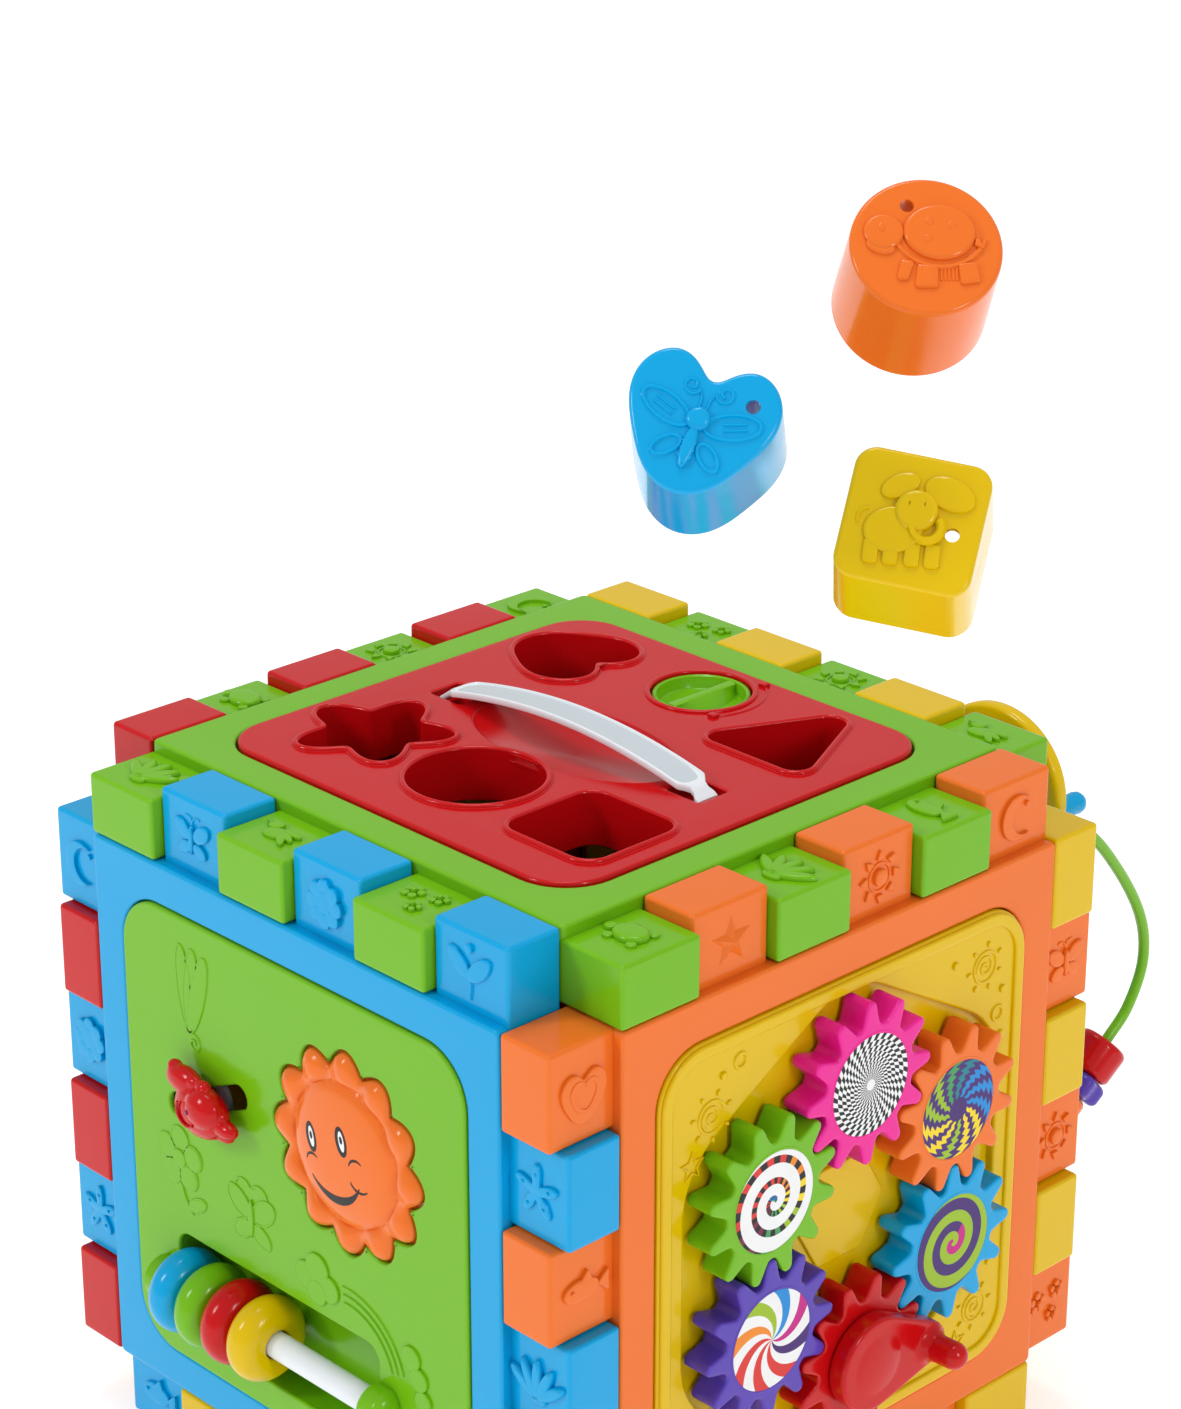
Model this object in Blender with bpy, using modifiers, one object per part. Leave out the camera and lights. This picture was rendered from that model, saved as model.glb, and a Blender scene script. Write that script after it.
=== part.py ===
"""Baby activity cube: six interlocking play panels round a shape-sorter bin.

Metres, +Z up. The origin is the centre of the face that the cube stands on.
Each panel is modelled lying in its own frame, whose +Z points out of the cube and whose
origin is the cube's centre. An empty for each side of the cube turns the panel into place.
"""

from math import atan2, cos, exp, pi, radians, sin, sqrt, tan

import bmesh
import bpy
from mathutils import Matrix, Vector

# ---------------------------------------------------------------- driving dimensions
CELL = 0.040              # width of one edge tooth, along the cube's edge
CELLS = 6                 # cells along an edge, every second one a tooth
TOOTH_REACH = 0.031       # how far a tooth stands out beyond the bin's side
TOOTH_STEP = 0.005        # a tooth's patterned face lies this far below the panel's face
GAP = 0.0003              # clearance between fitted pieces
FRAME_WALL = 0.0022       # wall of a panel frame
RIM = 0.0177              # width of the frame's face round its window
WINDOW_RADIUS = 0.0225    # corner radius of the window
LEDGE = 0.005             # how far the plate's ledge reaches into the window
LEDGE_DEPTH = 0.008       # depth of the ledge below the frame's face
LEDGE_THICKNESS = 0.0025

PLATE_CLEARANCE = 0.0005  # play between a plate and its window
PLATE_PROUD = 0.0008      # how far a plate stands above its frame
PLATE_SKIN = 0.003        # thickness of a plate's face
PLATE_WALL = 0.0022       # thickness of skirts, pockets and tubes
CORNER_STEPS = 3

LID_PROUD = 0.0012
RIM_HEIGHT = 0.0016       # raised lip round each sorting hole
RIM_WIDTH = 0.0025
TUBE_DEPTH = 0.022        # length of the wall that lines each sorting hole
STAR_STEPS = 40
HEART_STEPS = 32
CIRCLE_HOLE = 0.0275      # radius
SQUARE_HOLE = 0.0245      # half the side
STAR_HOLE = (0.02625, 0.00625)
HEART_HOLE = (0.0258, 0.0022, 0.0095)
BLOCK_CLEARANCE = 0.0012  # play of a block in its hole, all round
BLOCK_HEIGHT = 0.043
BLOCK_WALL = 0.0022
BLOCK_TOP = 0.0026
KEY_HOLE = 0.0024         # small round hole in each block's top

HANDLE_REACH = 0.075      # half the distance between the handle's ends
HANDLE_WIDTH = 0.014
HANDLE_THICKNESS = 0.004
HANDLE_RISE = 0.0105
DISH_LENGTH = 0.052       # half lengths of the oval finger dish
DISH_WIDTH = 0.027
DISH_DEPTH = 0.0065

KNOB_RADIUS = 0.0205
KNOB_DEPTH = 0.0065
KNOB_INSET = 0.0293       # from the knob's axis to the window's edge
KNOB_SHAFT = 0.006
LATCH_GRIP = 0.0035       # how far the latch reaches under the ledge
LATCH_THICKNESS = 0.003
LATCH_WIDTH = 0.010

SUN_PLACE = (0.0345, 0.0365)
SUN_RADIUS = 0.0393
SUN_WAVE = 0.0036
SUN_RAYS = 12
SUN_CLEARANCE = 0.0012
SUN_TRAVEL = 0.003
SUN_FACE_RADIUS = 0.0300
SUN_FLANGE = 0.0025       # lip behind the plate, past the tips of the rays
BIRD_PLACE = (-0.051, 0.026)
BIRD_TILT = radians(25)
BIRD_SLOT_LENGTH = 0.054
BIRD_SLOT_WIDTH = 0.0105
BIRD_SHANK = 0.0046       # radius
TROUGH_LOW = (-0.074, -0.088)
TROUGH_HIGH = (0.050, -0.042)
TROUGH_DEPTH = 0.017
ROD_RADIUS = 0.0055
ROD_HEIGHT = 0.004        # of the rod's axis, above the panel's face
ROD_SOCKET = 0.009        # depth of the bosses that hold the rod
RING_RADIUS = 0.018
RING_WIDTH = 0.0165
RING_PLAY = 0.0007        # between the rod and a ring's bore

GEAR_RING = 0.060         # distance from the panel's centre to each gear's axle
GEAR_TEETH = 12
GEAR_THICKNESS = 0.013
GEAR_TOOTH_DEPTH = 0.0093
GEAR_FLOOR = 0.003        # depth of the gear well
POST_RADIUS = 0.0046
GEAR_PLAY = 0.0004        # between a post and its gear's bore
CRANK_ARM = 0.031
CRANK_HUB = 0.020         # radius
CRANK_THICKNESS = 0.0085
PEG_RADIUS = 0.0058
PEG_LENGTH = 0.018

WIRE_RADIUS = 0.0025
BEAD_PLAY = 0.0008        # between the wire and a bead's bore
SPINNER_PLACE = (-0.060, 0.095)
SPINNER_RADIUS = 0.036
SPINNER_HEIGHT = 0.038
SPINNER_THICKNESS = 0.007

DIAL_RADIUS = 0.066
HUB_RADIUS = 0.0045

# ---------------------------------------------------------------- derived dimensions
CORE = CELL * CELLS / 2             # half the side of the bin inside the panels
HALF = CORE + TOOTH_REACH           # half the cube's overall size
WINDOW = CORE - RIM                 # half the side of a window
PLATE = WINDOW - PLATE_CLEARANCE
SEAT = HALF - LEDGE_DEPTH + GAP     # underside of a plate's skirt
LID_TOP = HALF + LID_PROUD
BOSS_RADIUS = ROD_RADIUS + 0.0037   # round the ends of the abacus rod
RING_BORE = ROD_RADIUS + RING_PLAY
GEAR_BORE = POST_RADIUS + GEAR_PLAY
BEAD_BORE = WIRE_RADIUS + BEAD_PLAY
SOCKET_RADIUS = WIRE_RADIUS + 0.0033
PIN_RADIUS = 0.0034                 # of the spinner's axle

# sides of the cube: the panel's right and its up, in the cube's own axes
SIDES = {
    "top": ((1, 0, 0), (0, 1, 0)),
    "front": ((1, 0, 0), (0, 0, 1)),
    "right": ((0, 1, 0), (0, 0, 1)),
    "rear": ((-1, 0, 0), (0, 0, 1)),
    "left": ((0, -1, 0), (0, 0, 1)),
    "bottom": ((1, 0, 0), (0, -1, 0)),
}

COLOURS = {
    "green": (0.19, 0.51, 0.02),
    "blue": (0.01, 0.40, 0.72),
    "orange": (0.87, 0.21, 0.05),
    "yellow": (0.83, 0.52, 0.01),
    "red": (0.60, 0.02, 0.02),
    "pink": (0.85, 0.04, 0.37),
    "purple": (0.14, 0.10, 0.48),
    "white": (0.84, 0.88, 0.92),
    "grey": (0.30, 0.31, 0.33),
    "board": (0.02, 0.22, 0.07),
    "rubber": (0.55, 0.56, 0.58),
    "steel": (0.62, 0.62, 0.64),
    "cell": (0.10, 0.10, 0.11),
}
METAL = {"steel"}


# ---------------------------------------------------------------- scene and materials
for old in list(bpy.data.objects):
    bpy.data.objects.remove(old)

PARTS = bpy.data.collections.new("activity_cube")
CUTTERS = bpy.data.collections.new("cutters")
bpy.context.scene.collection.children.link(PARTS)
bpy.context.scene.collection.children.link(CUTTERS)


def plastic(colour):
    """The material for a colour name, made once."""
    found = bpy.data.materials.get(colour)
    if found:
        return found
    made = bpy.data.materials.new(colour)
    made.use_nodes = True
    shader = made.node_tree.nodes["Principled BSDF"]
    shader.inputs["Base Color"].default_value = (*COLOURS[colour], 1.0)
    shader.inputs["Roughness"].default_value = 0.3
    shader.inputs["Metallic"].default_value = 1.0 if colour in METAL else 0.0
    made.diffuse_color = (*COLOURS[colour], 1.0)
    return made


def side_frame(side):
    """The empty that carries one panel of the cube."""
    right, up = (Vector(v) for v in SIDES[side])
    out = right.cross(up)
    empty = bpy.data.objects.new(side + "_side", None)
    turn = Matrix((right, up, out)).transposed().to_4x4()
    empty.matrix_world = Matrix.Translation((0, 0, HALF)) @ turn
    PARTS.objects.link(empty)
    return empty


FRAMES = {side: side_frame(side) for side in SIDES}


# ---------------------------------------------------------------- outlines
def circle(radius, steps=24, centre=(0, 0)):
    """Points round a circle, anticlockwise."""
    return [
        (centre[0] + radius * cos(2 * pi * i / steps), centre[1] + radius * sin(2 * pi * i / steps))
        for i in range(steps)
    ]


def rounded(corners, radius, steps=CORNER_STEPS):
    """A polygon, anticlockwise, with each corner rounded to the same radius."""
    points = []
    count = len(corners)
    for i, corner in enumerate(corners):
        here = Vector(corner)
        back = (Vector(corners[i - 1]) - here).normalized()
        ahead = (Vector(corners[(i + 1) % count]) - here).normalized()
        half = back.angle(ahead) / 2
        centre = here + (back + ahead).normalized() * (radius / sin(half))
        start = here + back * (radius / tan(half)) - centre
        first = atan2(start.y, start.x)
        sweep = pi - 2 * half
        for k in range(steps + 1):
            angle = first + sweep * k / steps
            points.append((centre.x + radius * cos(angle), centre.y + radius * sin(angle)))
    return points


def rectangle(low, high):
    return [(low[0], low[1]), (high[0], low[1]), (high[0], high[1]), (low[0], high[1])]


def rounded_square(half, radius, steps=CORNER_STEPS):
    return rounded(rectangle((-half, -half), (half, half)), radius, steps)


def polar(radius_at, steps):
    """An outline from a radius given as a function of the angle."""
    points = []
    for i in range(steps):
        angle = 2 * pi * i / steps
        points.append((radius_at(angle) * cos(angle), radius_at(angle) * sin(angle)))
    return points


def moved(points, offset, turn=0.0):
    """An outline turned about its origin, then shifted."""
    return [
        (offset[0] + x * cos(turn) - y * sin(turn), offset[1] + x * sin(turn) + y * cos(turn))
        for x, y in points
    ]


def offset_outline(points, distance):
    """An outline pushed out by a distance, square to itself."""
    pushed = []
    count = len(points)
    for i, point in enumerate(points):
        before = Vector(points[i - 1])
        after = Vector(points[(i + 1) % count])
        along = (after - before).normalized()
        pushed.append((point[0] + along.y * distance, point[1] - along.x * distance))
    return pushed


def hull_of_circles(radius, ring, count, steps):
    """The rounded polygon that wraps equal circles set on a ring, the first at the top."""
    points = []
    for i in range(count):
        angle = pi / 2 + 2 * pi * i / count
        centre = (ring * cos(angle), ring * sin(angle))
        for k in range(steps + 1):
            turn = angle - pi / count + 2 * pi / count * k / steps
            points.append((centre[0] + radius * cos(turn), centre[1] + radius * sin(turn)))
    return points


def star_outline(push=0.0):
    mean, wave = STAR_HOLE
    shape = polar(lambda a: mean + wave * cos(5 * (a - pi)), STAR_STEPS)
    return offset_outline(shape, push)


def heart_outline(push=0.0):
    """A plump heart, its notch towards +X and its rounded tip towards -X."""
    mean, wave, notch = HEART_HOLE

    def radius_at(angle):
        turn = angle if angle < pi else angle - 2 * pi
        return mean + wave * cos(3 * (turn - pi)) - notch * exp(-((turn / 0.38) ** 2))

    return offset_outline(polar(radius_at, HEART_STEPS), push)


def triangle_outline(push=0.0):
    corners = [(-0.030, -0.023), (0.030, -0.023), (0.0, 0.040)]
    return offset_outline(rounded(corners, 0.007), push)


def square_outline(push=0.0):
    return rounded_square(SQUARE_HOLE + push, 0.009 + push)


def circle_outline(push=0.0):
    return circle(CIRCLE_HOLE + push, 24)


def sun_outline(push=0.0):
    shape = polar(lambda a: SUN_RADIUS + SUN_WAVE * cos(SUN_RAYS * (a - pi / 2)), SUN_RAYS * 5)
    return offset_outline(shape, push)


HOLES = {
    "star": (star_outline, (-0.0615, -0.052)),
    "circle": (circle_outline, (0.001, -0.054)),
    "square": (square_outline, (0.066, -0.054)),
    "heart": (heart_outline, (-0.066, 0.062)),
    "triangle": (triangle_outline, (0.060, 0.0605)),
}


# ---------------------------------------------------------------- solids
def mesh_object(mesh, name, cutter=False):
    made = bpy.data.objects.new(name, mesh)
    if cutter:
        CUTTERS.objects.link(made)
        made.hide_render = True
        made.display_type = "WIRE"
    else:
        PARTS.objects.link(made)
    return made


def flatten(obj):
    """Turn a curve, or a mesh with modifiers, into a plain welded mesh object."""
    bpy.context.view_layer.update()
    evaluated = obj.evaluated_get(bpy.context.evaluated_depsgraph_get())
    mesh = bpy.data.meshes.new_from_object(evaluated)
    shape = bmesh.new()
    shape.from_mesh(mesh)
    bmesh.ops.remove_doubles(shape, verts=shape.verts, dist=0.000005)
    bmesh.ops.recalc_face_normals(shape, faces=shape.faces)
    shape.to_mesh(mesh)
    shape.free()
    made = mesh_object(mesh, obj.name + "_mesh")
    made.matrix_world = obj.matrix_world
    bpy.data.objects.remove(obj)
    return made


def slab(outlines, low, high):
    """A flat shape between two heights; outlines after the first are holes."""
    curve = bpy.data.curves.new("outline", "CURVE")
    curve.dimensions = "2D"
    curve.fill_mode = "BOTH"
    curve.extrude = (high - low) / 2
    for points in outlines:
        spline = curve.splines.new("POLY")
        spline.points.add(len(points) - 1)
        for point, (x, y) in zip(spline.points, points):
            point.co = (x, y, 0, 1)
        spline.use_cyclic_u = True
    made = mesh_object(curve, "slab")
    made = flatten(made)
    made.data.transform(Matrix.Translation((0, 0, (low + high) / 2)))
    return made


def box(low, high):
    return slab([rectangle(low[:2], high[:2])], low[2], high[2])


def rod(radius, low, high, centre=(0, 0), steps=24):
    return slab([circle(radius, steps, centre)], low, high)


def ball(radius, centre, squash=(1, 1, 1), rings=7):
    """A low sphere, stretched to the given proportions."""
    shape = bmesh.new()
    bmesh.ops.create_uvsphere(shape, u_segments=2 * rings, v_segments=rings, radius=radius)
    mesh = bpy.data.meshes.new("ball")
    shape.to_mesh(mesh)
    shape.free()
    mesh.transform(Matrix.Translation(centre) @ Matrix.Diagonal((*squash, 1)))
    return mesh_object(mesh, "ball")


def turned(profile, steps=24):
    """A shape turned about Z from (radius, height) points: a ring, or solid from axis to axis."""
    shape = bmesh.new()
    points = [shape.verts.new((r, 0, z)) for r, z in profile]
    on_axis = profile[0][0] == 0
    for a, b in zip(points, points[1:] if on_axis else points[1:] + points[:1]):
        shape.edges.new((a, b))
    mesh = bpy.data.meshes.new("turned")
    shape.to_mesh(mesh)
    shape.free()
    made = mesh_object(mesh, "turned")
    screw = made.modifiers.new("turn", "SCREW")
    screw.steps = steps
    screw.render_steps = steps
    screw.use_merge_vertices = True
    screw.merge_threshold = 0.00001
    return flatten(made)


def combine(body, others, operation):
    """A body with others joined to it, cut from it, or kept in common with it."""
    for other in others:
        CUTTERS.objects.link(other)
        PARTS.objects.unlink(other)
        other.hide_render = True
        other.display_type = "WIRE"
        change = body.modifiers.new(operation.lower(), "BOOLEAN")
        change.operation = operation
        change.solver = "EXACT"
        change.object = other
    made = flatten(body)
    for other in others:
        bpy.data.objects.remove(other)
    return made


def join(body, *others):
    return combine(body, others, "UNION")


def cut(body, *others):
    return combine(body, others, "DIFFERENCE")


def soften(obj, width, angle=50):
    """Round an object's sharp edges over with a one-step bevel."""
    bevel = obj.modifiers.new("soften", "BEVEL")
    bevel.width = width
    bevel.segments = 1
    bevel.limit_method = "ANGLE"
    bevel.angle_limit = radians(angle)
    return flatten(obj)


def part(obj, name, colour, side=None, place=(0, 0, 0), turn=0.0):
    """Name a finished piece, colour it and set it in its panel's frame."""
    obj.name = name
    obj.data.name = name
    obj.data.materials.clear()
    obj.data.materials.append(plastic(colour))
    obj.data.shade_smooth()
    obj.data.set_sharp_from_angle(angle=radians(35))
    if side:
        obj.parent = FRAMES[side]
    obj.location = place
    obj.rotation_euler = (0, 0, turn)
    return obj


# ---------------------------------------------------------------- panel frames
def frame_mesh():
    """One panel frame: window, ledge, hollow rim and three hollow teeth on each edge."""
    side = CORE - GAP / 2
    floor = CORE + GAP / 2
    window = rounded_square(WINDOW, WINDOW_RADIUS)
    body = slab([rounded_square(side, 0.003, 2), window], floor, HALF)
    seat = rounded_square(WINDOW - LEDGE, WINDOW_RADIUS - LEDGE)
    ledge_top = HALF - LEDGE_DEPTH
    ledge_outer = rounded_square(WINDOW + FRAME_WALL / 2, WINDOW_RADIUS + FRAME_WALL / 2)
    ledge = slab([ledge_outer, seat], ledge_top - LEDGE_THICKNESS, ledge_top)
    hollow_high = rounded_square(WINDOW + FRAME_WALL, WINDOW_RADIUS + FRAME_WALL)
    hollow_outer = rounded_square(side - FRAME_WALL, 0.002, 1)
    hollow = slab([hollow_outer, hollow_high], floor - 0.001, HALF - FRAME_WALL)
    skirt_end = ledge_top - LEDGE_THICKNESS
    low_cut = slab(
        [rounded_square(WINDOW + 2 * FRAME_WALL, WINDOW_RADIUS + FRAME_WALL), window],
        floor - 0.002,
        skirt_end,
    )
    body = join(cut(body, hollow, low_cut), ledge)
    solids = []
    hollows = []
    for edge in range(4):
        turn = Matrix.Rotation(edge * pi / 2, 4, "Z")
        for cell in (0, 2, 4):
            left = -CORE + cell * CELL + GAP / 2
            right = left + CELL - GAP
            tooth = box((left, -HALF, floor), (right, -side + FRAME_WALL / 2, HALF - TOOTH_STEP))
            inset = box(
                (left + FRAME_WALL, -HALF + FRAME_WALL, floor + FRAME_WALL),
                (
                    right - FRAME_WALL,
                    -side + 1.5 * FRAME_WALL,
                    HALF - TOOTH_STEP - FRAME_WALL,
                ),
            )
            tooth.data.transform(turn)
            inset.data.transform(turn)
            solids.append(tooth)
            hollows.append(inset)
    return cut(join(body, *solids), *hollows)


def build_frames():
    """Six frames from one moulding, in five colours."""
    first = frame_mesh()
    mesh = first.data
    bpy.data.objects.remove(first)
    colours = {
        "top": "green",
        "front": "blue",
        "right": "orange",
        "rear": "yellow",
        "left": "red",
        "bottom": "yellow",
    }
    for side, colour in colours.items():
        part(mesh_object(mesh.copy(), side), side + "_frame", colour, side)


# ---------------------------------------------------------------- plates
def tray(proud, holes=(), half=PLATE):
    """A rounded square plate with a skirt that stands on its frame's ledge."""
    radius = WINDOW_RADIUS - (WINDOW - half)
    top = HALF + proud
    outer = rounded_square(half, radius)
    face = slab([outer, *holes], top - PLATE_SKIN, top)
    inner = rounded_square(half - PLATE_WALL, radius - PLATE_WALL)
    return join(face, slab([outer, inner], SEAT, top - PLATE_SKIN / 2))


def sorting_tube(outline, place):
    """The lip and deep wall round one sorting hole of the lid."""
    hole = moved(outline(), place)
    outer = moved(outline(RIM_WIDTH), place)
    return slab([outer, hole], LID_TOP - TUBE_DEPTH, LID_TOP + RIM_HEIGHT)


KNOB_PLACE = (-0.001, WINDOW - KNOB_INSET)
SLOT_LOW = (HANDLE_REACH - 0.015, -HANDLE_WIDTH / 2 - 0.001)
SLOT_HIGH = (HANDLE_REACH + 0.003, HANDLE_WIDTH / 2 + 0.001)


def dish_outline(push=0.0):
    return polar(
        lambda a: 1 / sqrt((cos(a) / (DISH_LENGTH + push)) ** 2 + (sin(a) / (DISH_WIDTH + push)) ** 2),
        24,
    )


def build_lid():
    """The shape-sorter lid, its carry handle, and the knob that locks it."""
    half = WINDOW - PLATE_CLEARANCE - GAP
    slot = rectangle(SLOT_LOW, SLOT_HIGH)
    other_slot = moved(slot, (0, 0), pi)
    pocket_top = circle(KNOB_RADIUS + 0.0006, 24, KNOB_PLACE)
    holes = [moved(outline(0.0002), place) for outline, place in HOLES.values()]
    lid = tray(LID_PROUD, [*holes, slot, other_slot, pocket_top, dish_outline()], half)
    tubes = [sorting_tube(outline, place) for outline, place in HOLES.values()]
    pocket_floor = LID_TOP - KNOB_DEPTH - 0.001
    wall = circle(KNOB_RADIUS + 0.0006 + PLATE_WALL, 24, KNOB_PLACE)
    shaft_hole = circle(KNOB_SHAFT + GAP, 16, KNOB_PLACE)
    pocket = slab([wall, pocket_top], pocket_floor - 0.001, LID_TOP + RIM_HEIGHT / 2)
    floor = slab([wall, shaft_hole], pocket_floor - 0.002, pocket_floor)
    dish_low = LID_TOP - DISH_DEPTH
    dish = slab([dish_outline(PLATE_WALL), dish_outline()], dish_low - 0.001, LID_TOP - 0.001)
    dish_floor = slab([dish_outline(PLATE_WALL)], dish_low - 0.002, dish_low)
    lid = join(lid, *tubes, pocket, floor, dish, dish_floor)
    part(lid, "sorter_lid", "red", "top")

    steps = 12
    upper = []
    lower = []
    for i in range(steps + 1):
        share = -1 + 2 * i / steps
        rise = HANDLE_RISE * cos(share * pi / 2) ** 0.8 if abs(share) < 1 else 0.0
        x = share * HANDLE_REACH
        upper.append((x, LID_TOP + 0.0015 + rise))
        lower.append((x, LID_TOP + 0.0015 + rise - HANDLE_THICKNESS))
    leg = LID_TOP - PLATE_SKIN - 0.004
    foot = 0.004
    left = [(-HANDLE_REACH, leg), (-HANDLE_REACH + foot, leg), (-HANDLE_REACH + foot, lower[1][1] - 0.003)]
    right = [(-x, z) for x, z in reversed(left)]
    side_view = left + lower[1:-1] + right + list(reversed(upper))
    handle = slab([side_view], -HANDLE_WIDTH / 2, HANDLE_WIDTH / 2)
    handle.data.transform(Matrix.Rotation(pi / 2, 4, "X"))
    part(soften(handle, 0.0008), "carry_handle", "white", "top")

    top = KNOB_DEPTH
    knob = rod(KNOB_RADIUS, 0, top, steps=24)
    hollow = rod(KNOB_RADIUS - 0.0035, top - 0.0035, top + 0.002, steps=24)
    ridge = box((-0.0028, -KNOB_RADIUS + 0.002, top - 0.004), (0.0028, KNOB_RADIUS - 0.002, top))
    shaft_low = -(0.001 + 0.002 + LEDGE_DEPTH)
    shaft = rod(KNOB_SHAFT, shaft_low, 0.001, steps=16)
    knob = join(cut(knob, hollow), ridge, shaft)
    knob_place = (*KNOB_PLACE, LID_TOP - KNOB_DEPTH)
    part(knob, "lock_knob", "green", "top", knob_place)

    latch_top = HALF - LEDGE_DEPTH - LEDGE_THICKNESS - 0.0008
    reach = KNOB_INSET - LEDGE + LATCH_GRIP
    tongue = rounded(rectangle((-reach, -LATCH_WIDTH / 2), (0, LATCH_WIDTH / 2)), 0.003, 3)
    latch = join(
        slab([circle(0.0095, 16)], 0, LATCH_THICKNESS),
        slab([tongue], 0, LATCH_THICKNESS),
    )
    latch = cut(latch, rod(KNOB_SHAFT + GAP, -0.001, LATCH_THICKNESS + 0.001, steps=16))
    part(latch, "lock_latch", "grey", "top", (*KNOB_PLACE, latch_top - LATCH_THICKNESS))


def build_front():
    """Green plate with the sun button, the sliding bird and the abacus."""
    slot_shape = rounded(
        rectangle(
            (-BIRD_SLOT_LENGTH / 2, -BIRD_SLOT_WIDTH / 2), (BIRD_SLOT_LENGTH / 2, BIRD_SLOT_WIDTH / 2)
        ),
        BIRD_SLOT_WIDTH / 2 - 0.0001,
        4,
    )
    bird_slot = moved(slot_shape, BIRD_PLACE, BIRD_TILT)
    sun_hole = moved(sun_outline(SUN_CLEARANCE), SUN_PLACE)
    trough = rounded(rectangle(TROUGH_LOW, TROUGH_HIGH), 0.007, 3)
    plate = tray(PLATE_PROUD, [bird_slot, sun_hole, trough])
    wall = offset_outline(trough, PLATE_WALL)
    floor_at = HALF - TROUGH_DEPTH
    pocket = slab([wall, trough], floor_at - 0.001, HALF - 0.001)
    floor = slab([wall], floor_at - PLATE_WALL, floor_at)
    axis_x = (TROUGH_LOW[1] + TROUGH_HIGH[1]) / 2
    bosses = []
    for start, end in (
        (TROUGH_LOW[0] - ROD_SOCKET, TROUGH_LOW[0]),
        (TROUGH_HIGH[0], TROUGH_HIGH[0] + ROD_SOCKET),
    ):
        boss = rod(BOSS_RADIUS, start, end, steps=16)
        boss.data.transform(Matrix.Rotation(pi / 2, 4, "Y"))
        boss.data.transform(Matrix.Translation((0, axis_x, HALF + ROD_HEIGHT)))
        bosses.append(boss)
    bore = rod(ROD_RADIUS + GAP, TROUGH_LOW[0] - 0.006, TROUGH_HIGH[0] + ROD_SOCKET + 0.001, steps=16)
    bore.data.transform(Matrix.Rotation(pi / 2, 4, "Y"))
    bore.data.transform(Matrix.Translation((0, axis_x, HALF + ROD_HEIGHT)))
    plate = cut(join(plate, pocket, floor, *bosses), bore)
    part(plate, "front_plate", "green", "front")

    # the abacus
    rod_start = TROUGH_LOW[0] - 0.006 + GAP
    rod_end = TROUGH_HIGH[0] + ROD_SOCKET - 0.002
    bar = rod(ROD_RADIUS, rod_start, rod_end, steps=16)
    bar.data.transform(Matrix.Rotation(pi / 2, 4, "Y"))
    part(bar, "abacus_rod", "white", "front", (0, axis_x, HALF + ROD_HEIGHT))
    cap_edge = BOSS_RADIUS - 0.0004
    cap_profile = [(0, 0.004), (cap_edge - 0.0038, 0.0032), (cap_edge - GAP, 0.0004), (cap_edge, 0), (0, 0)]
    cap = turned(cap_profile, 16)
    cap.data.transform(Matrix.Rotation(pi / 2, 4, "Y"))
    below = PLATE_PROUD + GAP - ROD_HEIGHT
    cap = cut(cap, box((-0.001, -0.02, below - 0.02), (0.01, 0.02, below)))
    cap_at = TROUGH_HIGH[0] + ROD_SOCKET + GAP
    part(cap, "rod_cap", "green", "front", (cap_at, axis_x, HALF + ROD_HEIGHT))
    spacing = RING_WIDTH + GAP
    for i, colour in enumerate(("blue", "green", "red", "yellow")):
        start = TROUGH_LOW[0] + GAP + spacing * i
        part(ring(), "abacus_ring_" + colour, colour, "front", (start, axis_x, HALF + ROD_HEIGHT))

    build_sun()
    build_bird()
    build_sound()


def ring():
    """One abacus ring, its bore along X and its left face at the origin."""
    steps = 4
    crown = RING_WIDTH / 2
    core = RING_RADIUS - crown
    profile = [(RING_BORE, RING_WIDTH)]
    for i in range(steps + 1):
        angle = pi / 2 - pi * i / steps
        profile.append((core + crown * cos(angle), crown + crown * sin(angle)))
    profile.append((RING_BORE, 0))
    made = turned(profile, 20)
    made.data.transform(Matrix.Rotation(pi / 2, 4, "Y"))
    return made


SUN_BACK = HALF + PLATE_PROUD - PLATE_SKIN - GAP
SUN_FRONT = HALF + 0.0018
SUN_LIP = 0.002                     # thickness of the lip behind the plate
HOUSING_HALF = 0.0425
HOUSING_LOW = (SUN_PLACE[0] - HOUSING_HALF, SUN_PLACE[1] - HOUSING_HALF)
HOUSING_HIGH = (SUN_PLACE[0] + HOUSING_HALF, SUN_PLACE[1] + HOUSING_HALF)
HOUSING_TOP = SUN_BACK - SUN_LIP - SUN_TRAVEL - 0.0012
HOUSING_DEPTH = 0.030
BOARD_TOP = HOUSING_TOP - 0.0045
DOME_HEIGHT = 0.003
BATTERY_RADIUS = 0.00715
BATTERY_LENGTH = 0.0505


def build_sun():
    """The big push button: scalloped rays, domed face, a lip behind the plate and a plunger."""
    rays = soften(slab([sun_outline()], SUN_BACK - 0.0005, SUN_FRONT), 0.0009)
    lip = slab([circle(SUN_RADIUS + SUN_WAVE + SUN_FLANGE, 24)], SUN_BACK - SUN_LIP, SUN_BACK)
    rise = 0.0042
    face = turned(
        [
            (0, SUN_FRONT + rise),
            (SUN_FACE_RADIUS * 0.45, SUN_FRONT + rise * 0.9),
            (SUN_FACE_RADIUS * 0.8, SUN_FRONT + rise * 0.6),
            (SUN_FACE_RADIUS, SUN_FRONT - 0.001),
            (0, SUN_FRONT - 0.001),
        ],
        24,
    )
    plunger = rod(0.004, BOARD_TOP + DOME_HEIGHT + SUN_TRAVEL + 2 * GAP, SUN_BACK - 0.001, steps=16)
    sun = join(rays, lip, face, plunger)
    part(sun, "sun_button", "orange", "front", (*SUN_PLACE, 0))


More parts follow.
